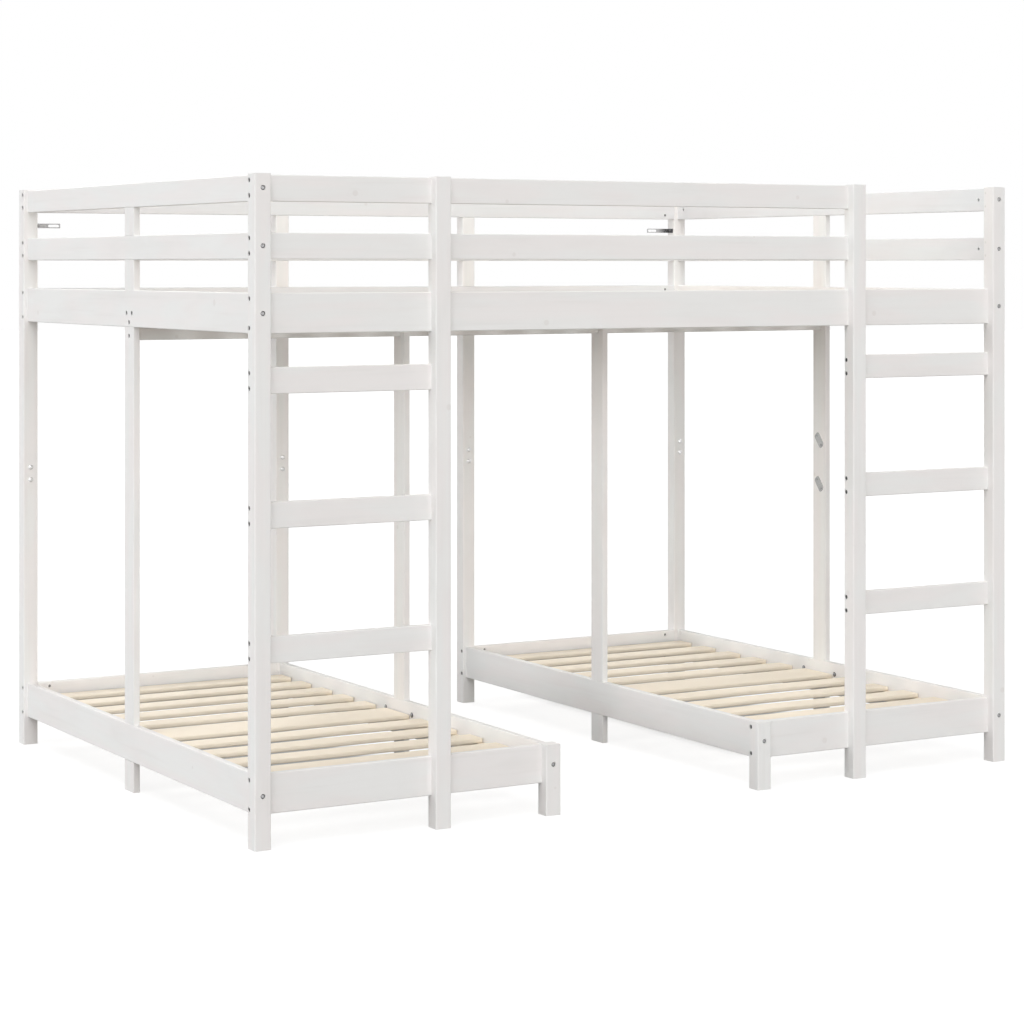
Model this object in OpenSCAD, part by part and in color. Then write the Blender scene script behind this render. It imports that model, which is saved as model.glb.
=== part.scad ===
// Triple bunk bed: two lower beds side by side with an open bay between them,
// under one wide deck that is reached by a ladder at either end of the front.
// The frame is symmetric about X = 0 but for the front guards, which stop short
// of the right-hand ladder so that it leads onto the deck.
// Origin: centre of the footprint, on the floor. X runs to the right, Y to the
// back, Z up. Millimetres.

/* [Posts] */
// Width and depth of every post
post_w = 51; // [46:1:70]
// Radius along the long edges of a post
post_edge_r = 4; // [1:0.5:7]
// Height of the tall posts above the top guards
post_over = 3; // [1:1:60]
// Height of the short legs above the lower rails
leg_over = 2; // [1:1:60]

/* [Bays] */
// Clear width between the posts of a lower bed
bay_w = 903; // [760:1:1100]
// Clear width between the two lower beds
aisle_w = 722; // [500:1:1000]
// Clear length between the front and the back posts
bed_l = 1903; // [1500:1:2100]
// Length of a rung
rung_l = 528; // [350:1:620]

/* [Boards] */
// Thickness of every board
board_t = 22; // [20:0.5:28]
// Height of the lower rails and the deck rails
rail_w = 116; // [100:1:160]
// Height of the rungs and guards, and width of the planks
board_w = 76; // [64:1:100]
// Radius along the long edges of a board
board_edge_r = 3; // [0.5:0.5:5]

/* [Heights] */
// Floor to the underside of the lower rails
foot_h = 96; // [60:1:250]
// Lower rail to the first rung, clear
rung_rise = 312; // [220:1:400]
// Rung to rung, clear
rung_gap = 308; // [200:1:380]
// Top rung to the deck rail, clear
deck_gap = 96; // [40:1:200]
// Deck rail to the lower guard, clear
guard_gap = 96; // [40:1:200]
// Lower guard to the upper guard, clear
guard_gap_top = 89; // [40:1:200]

/* [Slats] */
// Thickness of a slat
slat_t = 15; // [10:1:25]
// Width of a slat
slat_w = 85; // [60:1:100]
// Gap between the slats of a lower bed, evened out over its length
slat_gap = 85; // [40:1:120]
// End rail of a lower bed to its last slat
last_slat_gap = 24; // [10:1:40]
// Width of the middle board of a lower bed
mid_board_w = 169; // [100:1:220]
// Gap on either side of the middle board
mid_gap = 78; // [40:1:120]
// Gap between the slats of the deck, evened out over its width
deck_slat_gap = 73.5; // [40:0.5:120]
// Side rail of the deck to its last slat
deck_last_slat_gap = 19; // [10:1:40]
// Free space between a slat's end and the rail
slat_end_gap = 5; // [1:0.5:10]
// Depth of a ledger, out from its rail
ledger_w = 22; // [15:1:35]
// Height of a ledger
ledger_h = 34; // [20:1:40]
// Underside of a lower rail to the underside of its ledger
ledger_rise = 27; // [5:1:40]
// Free space between a ledger's end and the next rail
ledger_end_gap = 55; // [52:1:80]

/* [Splices] */
// Middle height of the splices in the back posts and the planks
splice_z = 938; // [800:1:1050]
// Length of the half lap in a back post
post_lap_l = 120; // [90:1:200]
// Length of the half lap in a plank
plank_lap_l = 200; // [120:1:260]
// Distance between the two bolts of a post's half lap
lap_bolt_pitch = 43; // [30:1:60]
// Height of an outer plank's tongue inside the deck rail
tongue_h = 88; // [70:1:95]
// Distance between the two bolts of a tongue
tongue_bolt_pitch = 44; // [24:1:50]
// Underside of the deck beam to its lower end bolt
beam_bolt_z = 14; // [10:1:20]
// Distance between the two end bolts of the deck beam
beam_bolt_pitch = 43; // [30:1:46]
// Clearance beside a board in its notch or fork
notch_gap = 0.3; // [0.1:0.1:1]

/* [Fasteners] */
// Diameter of a bolt
bolt_d = 6; // [4:0.5:7]
// Diameter of a bolt's head
head_d = 13; // [9:0.5:14]
// Diameter of the head of a bolt that stands on the wood
proud_head_d = 17; // [11:0.5:18]
// Thickness of a bolt's head
head_h = 4; // [2.5:0.5:5]
// Depth of a bolt's head below the wood
head_sink = 2; // [0.5:0.5:3]
// Radial clearance round a head in its counterbore
head_gap = 0.9; // [0.3:0.1:1]
// Radial clearance of a bolt in wood
bolt_gap = 0.3; // [0.1:0.05:0.5]
// Edge of a board to its end bolt
bolt_inset = 16; // [13:0.5:20]
// Diameter of a barrel nut
nut_d = 10; // [8.5:0.5:12]
// Length of a barrel nut
nut_l = 15; // [12:0.5:16]
// End of a board to its barrel nut
nut_inset = 43; // [25:1:44]
// Width across the flats of a bolt's socket
socket_af = 4; // [2.5:0.5:5]
// Diameter of a wood screw
screw_d = 4; // [3:0.5:5]
// Diameter of a wood screw's head
screw_head_d = 8; // [7:0.5:10]
// Length of the screws through a rail or guard into a ladder post
screw_l = 42; // [32:1:42]
// Depth of a back post's screws in the rail or guard that passes it
back_screw_bite = 14; // [10:1:16]
// Length of the screws through a plank's half lap
lap_screw_l = 18; // [14:1:18]
// Edge of a board to its screws
screw_inset = 20; // [10:1:28]
// Diameter of a dowel
dowel_d = 8; // [6:0.5:10]
// Length of a dowel
dowel_l = 36; // [24:1:50]

/* [Wall straps] */
// Width of the strip a strap is made of
strap_w = 16; // [12:0.5:24]
// Thickness of the strip
strap_t = 2; // [1:0.5:3]
// Length of a strap's foot on the post
strap_foot_l = 41; // [30:1:44]
// Reach of a strap from the post
strap_reach = 98; // [80:1:150]
// Length of the slot
slot_l = 40; // [20:1:50]
// Width of the slot
slot_w = 9; // [5:0.5:11]
// Metal left beyond the slot's end
slot_rim = 4; // [2.5:0.5:8]
// Foot's free end to its screw
strap_screw_inset = 18; // [8:1:20]
// Post to the rivet that joins the two strips
rivet_reach = 17; // [12:1:24]

/* [Hidden] */
$fn = 32;
whitewash = [0.90, 0.89, 0.88];
bare_pine = [0.98, 0.92, 0.83];
zinc = [0.55, 0.55, 0.56];
dark_steel = [0.25, 0.25, 0.26];
white_plastic = [0.94, 0.94, 0.93];
// How far a cut runs past a face, and one shape into the next of the same piece
over = 1;
join = 0.5;
// Radial clearances, and the depth of a screw's head below the wood
screw_gap = 0.1;
rivet_gap = 0.15;
nut_gap = 0.15;
dowel_gap = 0.15;
strip_gap = 0.1;
screw_sink = 0.3;
// Bolts: socket, thread past the nut, wood left under a short bolt, air past a tip
socket_depth = 2.2;
thread_over = 2;
wood_left = 4;
hole_end = 1;
// Middle board to the short bolts that keep it in place
stop_gap = 2;
// Slant of the screw pairs in a plank's half lap
lap_screw_rise = 16;
// Plugs and strap fasteners
plug_stub = 8;
plug_flange_t = 0.8;
plug_flange_d = bolt_d + 2;
strap_screw_l = 25;
strap_head_h = 2.5;
rivet_head = 1;

// Overall sizes
half_t = board_t / 2;
width = 4 * post_w + 2 * bay_w + aisle_w;
depth = 2 * post_w + bed_l;
col_x = [-width / 2, -width / 2 + 2 * post_w + rung_l, -width / 2 + 2 * post_w + bay_w];

// Each level is the underside and the height of its boards
low = [foot_h, rail_w];
rungs = [for (i = [0:2]) [foot_h + rail_w + rung_rise + i * (board_w + rung_gap), board_w]];
deck = [rungs[2][0] + board_w + deck_gap, rail_w];
guard_lower = [deck[0] + rail_w + guard_gap, board_w];
guard_upper = [guard_lower[0] + board_w + guard_gap_top, board_w];
guards = [guard_lower, guard_upper];
post_h = guard_upper[0] + board_w + post_over;
leg_h = foot_h + rail_w + leg_over;
bed_slat_z = foot_h + ledger_rise + ledger_h;
deck_slat_z = deck[0] + ledger_h;
beam_z = deck_slat_z - board_w;
strap_z = guard_lower[0] + board_w + guard_gap_top / 2;

// Joints above and below the lower side rails, and of the short planks of the guards
foot_joints = [foot_h, foot_h + rail_w];
stile_joints = [
    deck[0] + rail_w, guard_lower[0], guard_lower[0] + board_w, guard_upper[0]
];
beam_bolt_heights = [beam_bolt_z, beam_bolt_z + beam_bolt_pitch];

// Faces of the rails, in the left half of the bed
board_y = -depth / 2 + post_w - board_t;
rail_axis = post_w - half_t;
outer_rail_x = -width / 2 + post_w / 2 - half_t;
inner_rail_x = -width / 2 + 1.5 * post_w + bay_w + half_t;
bed_in_w = bay_w + post_w - board_t;
deck_in_w = width - post_w - board_t;
beam_l = deck_in_w;
bore_l = nut_inset + nut_d;
head_floor = head_sink + head_h;
bolt_reach = nut_inset + nut_d / 2 + thread_over;
bolt_l = post_w - head_floor + bolt_reach;
beam_bolt_l = board_t - head_floor + bolt_reach;
lap_bolt_l = post_w - head_sink;
tongue_bolt_l = board_t - head_floor - wood_left;
back_screw_l = post_w - board_t + back_screw_bite;
stop_bolt_l = board_t - wood_left;
stop_y = mid_board_w / 2 + stop_gap + proud_head_d / 2;
stop_z = bed_slat_z + slat_t;
dowel_y = board_w / 4;
lap_screw_y = board_w / 6;

// Placing

function edge_pair(level) = [level[0] + bolt_inset, level[0] + level[1] - bolt_inset];
function middle(level) = level[0] + level[1] / 2;

module flip_x(on) {
    if (on) mirror([1, 0, 0]) children();
    else children();
}

module flip_y(on) {
    if (on) mirror([0, 1, 0]) children();
    else children();
}

// A post's own frame: the corner where its bolt heads are, x and y into the post.
// Column 0 is the bed's corner, 1 the ladder's second post, 2 the leg by the bay
module at_post(right, col, back) {
    flip_x(right) flip_y(back) translate([col_x[col], -depth / 2, 0]) flip_x(col > 0) children();
}

// Bolt axes of the boards that run in X, two at each level
module pair_sites(levels) {
    for (level = levels)
        for (z = edge_pair(level)) translate([0, rail_axis, z]) children();
}

// Bolt axes of the boards that run in Y, one at each level
module single_sites(levels) {
    for (level = levels) translate([post_w / 2, 0, middle(level)]) rotate([0, 0, 90]) children();
}

// Bolt axes of a back post's half lap, from the room side
module lap_sites() {
    for (s = [-1, 1])
        translate([post_w / 2, post_w, splice_z + s * lap_bolt_pitch / 2])
            rotate([0, 0, -90]) children();
}

// A board's own frame: it runs along x, its outer face is y = 0, its lower edge z = 0
module at_x_board(x, z, back) {
    flip_y(back) translate([x, board_y, z]) children();
}

// Outer rails and guards of either side, whose outer faces look away from the bed
module at_side_board(right) {
    flip_x(right) translate([outer_rail_x, depth / 2 - post_w, 0]) rotate([0, 0, -90]) children();
}

// Rails on the bay's side of the lower beds
module at_bay_board(right) {
    flip_x(right) translate([inner_rail_x, -depth / 2 + post_w, 0]) rotate([0, 0, 90]) children();
}

// Both ends of a board, on its bolt axes
module board_end_sites(len, heights) {
    for (z = heights) {
        translate([0, half_t, z]) children();
        translate([len, half_t, z]) mirror([1, 0, 0]) children();
    }
}

// Middle of the planks, on the side rails' outer and bay faces; x goes into the wood
module at_plank(right, outer) {
    flip_x(right) translate([outer ? outer_rail_x : inner_rail_x, 0, 0]) flip_x(!outer) children();
}

// Holes where a board crosses a post: for a whole screw from its inner face, or at the
// back from its outer face for the end of a screw that comes through the post
module crossing_holes(post_x, heights, back) {
    for (z = heights)
        if (back)
            translate([post_x, 0, z]) rotate([0, 0, 90])
                rod(screw_d / 2 + screw_gap, -over, back_screw_bite + hole_end);
        else translate([post_x, board_t, z]) rotate([0, 0, -90]) screw_hole(screw_l);
}

// Screws of a crossing, clear of a ledger of height covered
function crossing_z(w, covered) = [covered + screw_inset, w - screw_inset];

// Fasteners and their holes, all along +x from the surface at x = 0

module rod(r, from, to) {
    translate([from, 0, 0]) rotate([0, 90, 0]) cylinder(r = r, h = to - from);
}

module bolt_hole(len) {
    rod(bolt_d / 2 + bolt_gap, -over, len);
    rod(head_d / 2 + head_gap, -over, head_floor);
}

module bolt(sink, len, head = head_d) {
    difference() {
        union() {
            rod(bolt_d / 2, sink + head_h - join, sink + head_h + len);
            rod(head / 2, sink, sink + head_h);
        }
        translate([sink - over, 0, 0]) rotate([0, 90, 0])
            cylinder(r = socket_af / sqrt(3), h = socket_depth + over, $fn = 6);
    }
}

module barrel_nut() {
    difference() {
        translate([nut_inset, -nut_l / 2, 0]) rotate([-90, 0, 0]) cylinder(d = nut_d, h = nut_l);
        rod(bolt_d / 2 + nut_gap, 0, nut_inset + nut_d);
    }
}

// Bore in a board's end for the bolt, and the blind hole for its nut from the inner face
module end_hole() {
    rod(bolt_d / 2 + bolt_gap, -over, bore_l);
    translate([nut_inset, -nut_l / 2 - nut_gap, 0]) rotate([-90, 0, 0])
        cylinder(d = nut_d + 2 * nut_gap, h = nut_l / 2 + half_t + over);
}

// Flat nut of a half lap, on the far side of the post
module lap_nut() {
    difference() {
        rod(head_d / 2, post_w - head_floor, post_w - head_sink);
        rod(bolt_d / 2 + nut_gap, 0, post_w);
    }
}

// The head's cone falls at 45 degrees
module screw(len) {
    rod(screw_d / 2, screw_head_d / 2 - screw_d / 2 + screw_sink - join, len);
    translate([screw_sink, 0, 0]) rotate([0, 90, 0])
        cylinder(r1 = screw_head_d / 2, r2 = screw_d / 2, h = (screw_head_d - screw_d) / 2);
}

module screw_hole(len) {
    rod(screw_d / 2 + screw_gap, -over, len + hole_end);
    translate([-over, 0, 0]) rotate([0, 90, 0])
        cylinder(r1 = screw_head_d / 2 + screw_sink + screw_gap + over,
                 r2 = screw_d / 2 + screw_gap,
                 h = (screw_head_d - screw_d) / 2 + screw_sink + over);
}

// Wood shapes

// A rectangle from the origin with round corners
module round_rect(size_x, size_y, r) {
    translate([r, 0]) square([size_x - 2 * r, size_y]);
    translate([0, r]) square([size_x, size_y - 2 * r]);
    for (x = [r, size_x - r])
        for (y = [r, size_y - r]) translate([x, y]) circle(r = r);
}

module post_bar(h) {
    linear_extrude(height = h) round_rect(post_w, post_w, post_edge_r);
}

module board_bar(len, w) {
    rotate([90, 0, 90]) linear_extrude(height = len) round_rect(board_t, w, board_edge_r);
}

// A length of plank, standing, centred on y = 0 with one face at x = 0
module plank_bar(z0, z1) {
    translate([0, -board_w / 2, z0])
        linear_extrude(height = z1 - z0) round_rect(board_t, board_w, board_edge_r);
}

// Posts

// Notches on the room side, for boards that pass a post
module notches(levels) {
    for (level = levels)
        translate([-over, post_w - board_t, level[0] - notch_gap])
            cube([post_w + 2 * over, board_t + over, level[1] + 2 * notch_gap]);
}

// Screw sites of a passing board, in the frame of a post: on the board's inner face, or
// for a post at the back on its own back face
module post_crossing_sites(levels, back) {
    for (level = levels)
        for (z = crossing_z(level[1], level == deck ? ledger_h : 0))
            translate([post_w / 2, back ? 0 : post_w, level[0] + z])
                rotate([0, 0, back ? 90 : -90]) children();
}

module post_body(h, pairs, singles, crossings, back) {
    difference() {
        post_bar(h);
        notches(crossings);
        pair_sites(pairs) bolt_hole(post_w + over);
        single_sites(singles) bolt_hole(post_w + over);
        post_crossing_sites(crossings, back) screw_hole(back ? back_screw_l : screw_l);
    }
}

// Lower or upper half of a back post, with its half of the lap
module post_half(upper, pairs, singles, crossings) {
    z_cut = upper ? -over : splice_z + post_lap_l / 2;
    lap_y = upper ? -over : post_w / 2;
    difference() {
        post_body(post_h, pairs, singles, crossings, true);
        translate([-over, -over, z_cut])
            cube([post_w + 2 * over, post_w + 2 * over,
                  upper ? splice_z - post_lap_l / 2 + over : post_h]);
        translate([-over, lap_y, splice_z - post_lap_l / 2])
            cube([post_w + 2 * over, post_w / 2 + over, post_lap_l + (upper ? 0 : over)]);
        lap_sites() rod(bolt_d / 2 + bolt_gap, -over, post_w + over);
        lap_sites() rod(head_d / 2 + head_gap, post_w - head_floor, post_w + over);
    }
}

corner_levels = concat([low, deck], guards);

module front_corner_post(right) {
    color(whitewash) at_post(right, 0, false)
        post_body(post_h, concat([low, deck], rungs, guards), corner_levels, [], false);
}

module ladder_post(right) {
    color(whitewash) at_post(right, 1, false)
        post_body(post_h, rungs, [], corner_levels, false);
}

module front_leg(right) {
    color(whitewash) at_post(right, 2, false) post_body(leg_h, [low], [low], [], false);
}

module back_corner_post(right, upper) {
    color(whitewash) difference() {
        at_post(right, 0, true) post_half(upper, corner_levels, corner_levels, []);
        if (upper)
            at_strap(right) strap_foot_site()
                rod(screw_d / 2 + screw_gap, 0, strap_screw_l + hole_end);
    }
}

module back_mid_post(right, upper) {
    color(whitewash) at_post(right, 2, true)
        post_half(upper, [low], [low], concat([deck], guards));
}

// Planks: pieces of board in the plane of the side rails

// Dowel axes at a joint at height z
module dowel_sites(z) {
    for (s = [-1, 1]) translate([half_t, s * dowel_y, z]) children();
}

module dowel() {
    translate([0, 0, -dowel_l / 2 + 0.5]) cylinder(d = dowel_d, h = dowel_l - 1);
}

module dowel_hole() {
    translate([0, 0, -dowel_l / 2]) cylinder(d = dowel_d + 2 * dowel_gap, h = dowel_l);
}

// Screws of a plank's half lap: a slanting pair near either end, from the bed's side
module lap_screw_sites() {
    for (s = [-1, 1])
        for (t = [-1, 1])
            translate([board_t, t * lap_screw_y,
                       splice_z + s * (plank_lap_l / 2 - screw_inset) + t * lap_screw_rise])
                rotate([0, 180, 0]) children();
}

// Lower half of an outer plank; it keeps its outer half-thickness in the lap
module plank_lower(right) {
    color(whitewash) at_plank(right, true) difference() {
        plank_bar(foot_joints[1], splice_z + plank_lap_l / 2);
        translate([half_t, -board_w / 2 - over, splice_z - plank_lap_l / 2])
            cube([half_t + over, board_w + 2 * over, plank_lap_l + over]);
        dowel_sites(foot_joints[1]) dowel_hole();
        lap_screw_sites() screw_hole(lap_screw_l);
    }
}

// Half-thickness tongue of an outer plank, on the bed's side of the deck rail
module tongue(gap) {
    translate([half_t - gap, -board_w / 2 - gap, deck[0] - over])
        cube([half_t + gap, board_w + 2 * gap, tongue_h + over + gap]);
}

module beam_bolt_sites() {
    for (z = beam_bolt_heights) translate([0, 0, beam_z + z]) children();
}

module tongue_bolt_sites() {
    for (s = [-1, 1]) translate([0, s * tongue_bolt_pitch / 2, deck[0] + tongue_h / 2]) children();
}

// Upper half of an outer plank, with its tongue and the bolts of the deck beam
module plank_upper(right) {
    color(whitewash) at_plank(right, true) difference() {
        union() {
            plank_bar(splice_z - plank_lap_l / 2, deck[0]);
            tongue(0);
        }
        translate([-over, -board_w / 2 - over, splice_z - plank_lap_l / 2 - over])
            cube([half_t + over, board_w + 2 * over, plank_lap_l + over]);
        beam_bolt_sites() bolt_hole(board_t + over);
        tongue_bolt_sites() bolt_hole(head_floor + tongue_bolt_l + hole_end);
        lap_screw_sites() screw_hole(lap_screw_l);
    }
}

// Plank by the bay, in one piece, forked at the top to carry the deck beam
module plank_inner(right) {
    color(whitewash) at_plank(right, false) difference() {
        plank_bar(foot_joints[1], deck_slat_z);
        translate([-over, -half_t - notch_gap, beam_z])
            cube([board_t + 2 * over, board_t + 2 * notch_gap, board_w + over]);
        dowel_sites(foot_joints[1]) dowel_hole();
    }
}

// Feet under the lower side rails, in line with the planks
module plank_feet() {
    color(whitewash)
        for (right = [false, true])
            for (outer = [false, true])
                at_plank(right, outer) difference() {
                    plank_bar(0, foot_h);
                    dowel_sites(foot_h) dowel_hole();
                }
}

// Short planks between the deck rail and the guards of either side
module guard_stiles() {
    color(whitewash)
        for (right = [false, true])
            for (i = [0, 2])
                at_plank(right, true) difference() {
                    plank_bar(stile_joints[i], stile_joints[i + 1]);
                    for (j = [i, i + 1]) dowel_sites(stile_joints[j]) dowel_hole();
                }
}

// Boards that run in X

function post_middle(right, col) =
    (right ? -1 : 1) * (col_x[col] + (col > 0 ? -1 : 1) * post_w / 2);

// Crossings are the X of the posts that the board passes, in the bed's frame
module x_board(x0, x1, level, back, crossings, right_end) {
    color(whitewash) at_x_board(x0, level[0], back) difference() {
        board_bar(x1 - x0, level[1]);
        translate([0, half_t, 0]) for (z = [bolt_inset, level[1] - bolt_inset]) {
            translate([0, 0, z]) end_hole();
            if (right_end) translate([x1 - x0, 0, z]) mirror([1, 0, 0]) end_hole();
        }
        for (x = crossings)
            crossing_holes(x - x0, crossing_z(level[1], level == deck ? ledger_h : 0), back);
    }
}

bed_x0 = -width / 2 + post_w;
bed_x1 = bed_x0 + bay_w;
ladder_cross = [post_middle(false, 1), post_middle(true, 1)];
mid_cross = [post_middle(false, 2), post_middle(true, 2)];
guard_x1 = post_middle(true, 1) + post_w / 2;

module bed_rail_front(right) {
    flip_x(right) x_board(bed_x0, bed_x1, low, false, [post_middle(false, 1)], true);
}

module bed_rail_back(right) {
    flip_x(right) x_board(bed_x0, bed_x1, low, true, [], true);
}

module deck_rail_front() {
    x_board(bed_x0, -bed_x0, deck, false, ladder_cross, true);
}

module deck_rail_back() {
    x_board(bed_x0, -bed_x0, deck, true, mid_cross, true);
}

module guard_front(level) {
    x_board(bed_x0, guard_x1, level, false, ladder_cross, false);
}

module guard_back(level) {
    x_board(bed_x0, -bed_x0, level, true, mid_cross, true);
}

module rung(right, i) {
    flip_x(right) x_board(bed_x0, bed_x0 + rung_l, rungs[i], false, [], true);
}

// Boards that run in Y

module side_board(level) {
    difference() {
        translate([0, 0, level[0]]) board_bar(bed_l, level[1]);
        board_end_sites(bed_l, [middle(level)]) end_hole();
    }
}

// Axes of the short bolts that keep the middle board of a lower bed in place
module stop_sites() {
    for (s = [-1, 1])
        translate([bed_l / 2 + s * stop_y, board_t, stop_z]) rotate([0, 0, -90]) children();
}

module low_side_board() {
    difference() {
        side_board(low);
        stop_sites() rod(bolt_d / 2 + bolt_gap, -over, stop_bolt_l + hole_end);
    }
}

module bed_rail_side(right, outer) {
    color(whitewash) difference() {
        if (outer) at_side_board(right) low_side_board();
        else at_bay_board(right) low_side_board();
        at_plank(right, outer) for (z = foot_joints) dowel_sites(z) dowel_hole();
    }
}

module deck_rail_side(right) {
    color(whitewash) difference() {
        at_side_board(right) side_board(deck);
        at_plank(right, true) {
            tongue(notch_gap);
            beam_bolt_sites() bolt_hole(board_t + over);
            tongue_bolt_sites() bolt_hole(head_floor + tongue_bolt_l + hole_end);
            dowel_sites(stile_joints[0]) dowel_hole();
        }
    }
}

module guard_side(right, level) {
    color(whitewash) difference() {
        at_side_board(right) side_board(level);
        at_plank(right, true) for (z = stile_joints) dowel_sites(z) dowel_hole();
    }
}

module at_beam() {
    translate([-beam_l / 2, -half_t, beam_z]) children();
}

module deck_beam() {
    color(whitewash) at_beam() difference() {
        board_bar(beam_l, board_w);
        board_end_sites(beam_l, beam_bolt_heights) end_hole();
    }
}

// Slats and ledgers

// Steps from the first slat beside the middle board to the last one, and their length
slat_l = bed_in_w - 2 * slat_end_gap;
slat_span = bed_l / 2 - mid_board_w / 2 - mid_gap - slat_w - last_slat_gap;
slat_steps = round(slat_span / (slat_w + slat_gap));
slat_pitch = slat_span / slat_steps;
bed_x_mid = -width / 2 + post_w + bay_w / 2;

module slat(x0, y0, size_x, size_y, z) {
    translate([x0, y0, z]) cube([size_x, size_y, slat_t]);
}

module bed_slats(right) {
    color(bare_pine) flip_x(right) {
        slat(bed_x_mid - slat_l / 2, -mid_board_w / 2, slat_l, mid_board_w, bed_slat_z);
        for (back = [false, true])
            for (i = [0 : slat_steps])
                flip_y(back)
                    slat(bed_x_mid - slat_l / 2, mid_board_w / 2 + mid_gap + i * slat_pitch,
                         slat_l, slat_w, bed_slat_z);
    }
}

// Steps from the deck's middle slat to the last one on either side
deck_slat_span = deck_in_w / 2 - slat_w / 2 - deck_last_slat_gap;
deck_slat_steps = round(deck_slat_span / (slat_w + deck_slat_gap));
deck_slat_pitch = deck_slat_span / deck_slat_steps;
deck_slat_joint = 0.5;
deck_slat_l = bed_l / 2 - slat_end_gap - deck_slat_joint;

module deck_slats() {
    color(bare_pine)
        for (back = [false, true])
            for (i = [-deck_slat_steps : deck_slat_steps])
                flip_y(back)
                    slat(i * deck_slat_pitch - slat_w / 2, deck_slat_joint,
                         slat_w, deck_slat_l, deck_slat_z);
}

module bed_ledgers() {
    ledger_l = bed_l - 2 * ledger_end_gap;
    color(bare_pine)
        for (right = [false, true])
            for (s = [-1, 1])
                flip_x(right)
                    translate([bed_x_mid + s * (bed_in_w - ledger_w) / 2 - ledger_w / 2,
                               -ledger_l / 2, foot_h + ledger_rise])
                        cube([ledger_w, ledger_l, ledger_h]);
}

module deck_ledgers() {
    ledger_l = width - 2 * post_w - 2 * ledger_end_gap;
    color(bare_pine)
        for (back = [false, true])
            flip_y(back)
                translate([-ledger_l / 2, -bed_l / 2, deck[0]])
                    cube([ledger_l, ledger_w, ledger_h]);
}

// Fasteners

// Every place where a bolt goes through a post into the end of a board
module post_bolt_sites() {
    for (right = [false, true]) {
        at_post(right, 0, false) {
            pair_sites(concat([low, deck], rungs, right ? [] : guards)) children();
            single_sites(corner_levels) children();
        }
        at_post(right, 1, false) pair_sites(rungs) children();
        for (back = [false, true]) at_post(right, 2, back) {
            pair_sites([low]) children();
            single_sites([low]) children();
        }
        at_post(right, 0, true) {
            pair_sites(corner_levels) children();
            single_sites(corner_levels) children();
        }
    }
}

module back_lap_sites() {
    for (right = [false, true])
        for (col = [0, 2]) at_post(right, col, true) lap_sites() children();
}

module bolts() {
    color(zinc) {
        post_bolt_sites() bolt(head_sink, bolt_l);
        back_lap_sites() bolt(-head_h, lap_bolt_l, proud_head_d);
        for (right = [false, true]) {
            at_plank(right, true) {
                beam_bolt_sites() bolt(head_sink, beam_bolt_l);
                tongue_bolt_sites() bolt(head_sink, tongue_bolt_l);
            }
            at_side_board(right) stop_sites() bolt(-head_h, stop_bolt_l, proud_head_d);
            at_bay_board(right) stop_sites() bolt(-head_h, stop_bolt_l, proud_head_d);
        }
    }
}

// The far side of a post or rail, where a board's end meets it
module nuts() {
    color(zinc) {
        for (right = [false, true]) flip_x(right) {
            for (back = [false, true])
                at_x_board(bed_x0, 0, back) board_end_sites(bay_w, edge_pair(low)) barrel_nut();
            for (level = rungs)
                at_x_board(bed_x0, 0, false) board_end_sites(rung_l, edge_pair(level)) barrel_nut();
        }
        for (back = [false, true])
            at_x_board(bed_x0, 0, back)
                board_end_sites(-2 * bed_x0, edge_pair(deck)) barrel_nut();
        for (level = guards) {
            at_x_board(bed_x0, 0, true) board_end_sites(-2 * bed_x0, edge_pair(level)) barrel_nut();
            at_x_board(bed_x0, 0, false)
                for (z = edge_pair(level)) translate([0, half_t, z]) barrel_nut();
        }
        for (right = [false, true]) {
            for (level = corner_levels)
                at_side_board(right) board_end_sites(bed_l, [middle(level)]) barrel_nut();
            at_bay_board(right) board_end_sites(bed_l, [middle(low)]) barrel_nut();
        }
        at_beam() board_end_sites(beam_l, beam_bolt_heights) barrel_nut();
        back_lap_sites() lap_nut();
    }
}

// Depth of the two strips that overlap in a strap
strip_l = 2 * strap_t + strip_gap;

// A strap's own frame: the back inner edge of a corner post, x out from the post, y forward
module at_strap(right) {
    flip_x(right) translate([bed_x0, depth / 2, strap_z]) mirror([0, 1, 0]) children();
}

module strap_foot_site() {
    translate([strap_t, strap_foot_l - strap_screw_inset, 0]) mirror([1, 0, 0]) children();
}

module rivet_site() {
    translate([rivet_reach, strip_l, 0]) rotate([0, 0, -90]) children();
}

module screws() {
    color(dark_steel) {
        for (right = [false, true]) {
            at_post(right, 1, false) post_crossing_sites(corner_levels, false) screw(screw_l);
            at_post(right, 2, true)
                post_crossing_sites(concat([deck], guards), true) screw(back_screw_l);
            at_plank(right, true) lap_screw_sites() screw(lap_screw_l);
            at_strap(right) {
                strap_foot_site() strap_screw();
                rivet_site() rivet();
            }
        }
    }
}

module strap_screw() {
    rod(screw_d / 2, -join, strap_screw_l);
    rod(screw_head_d / 2, -strap_head_h, 0);
}

module rivet() {
    rod(screw_d / 2, -join, strip_l);
    rod(screw_head_d / 2, -rivet_head, 0);
}

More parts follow.
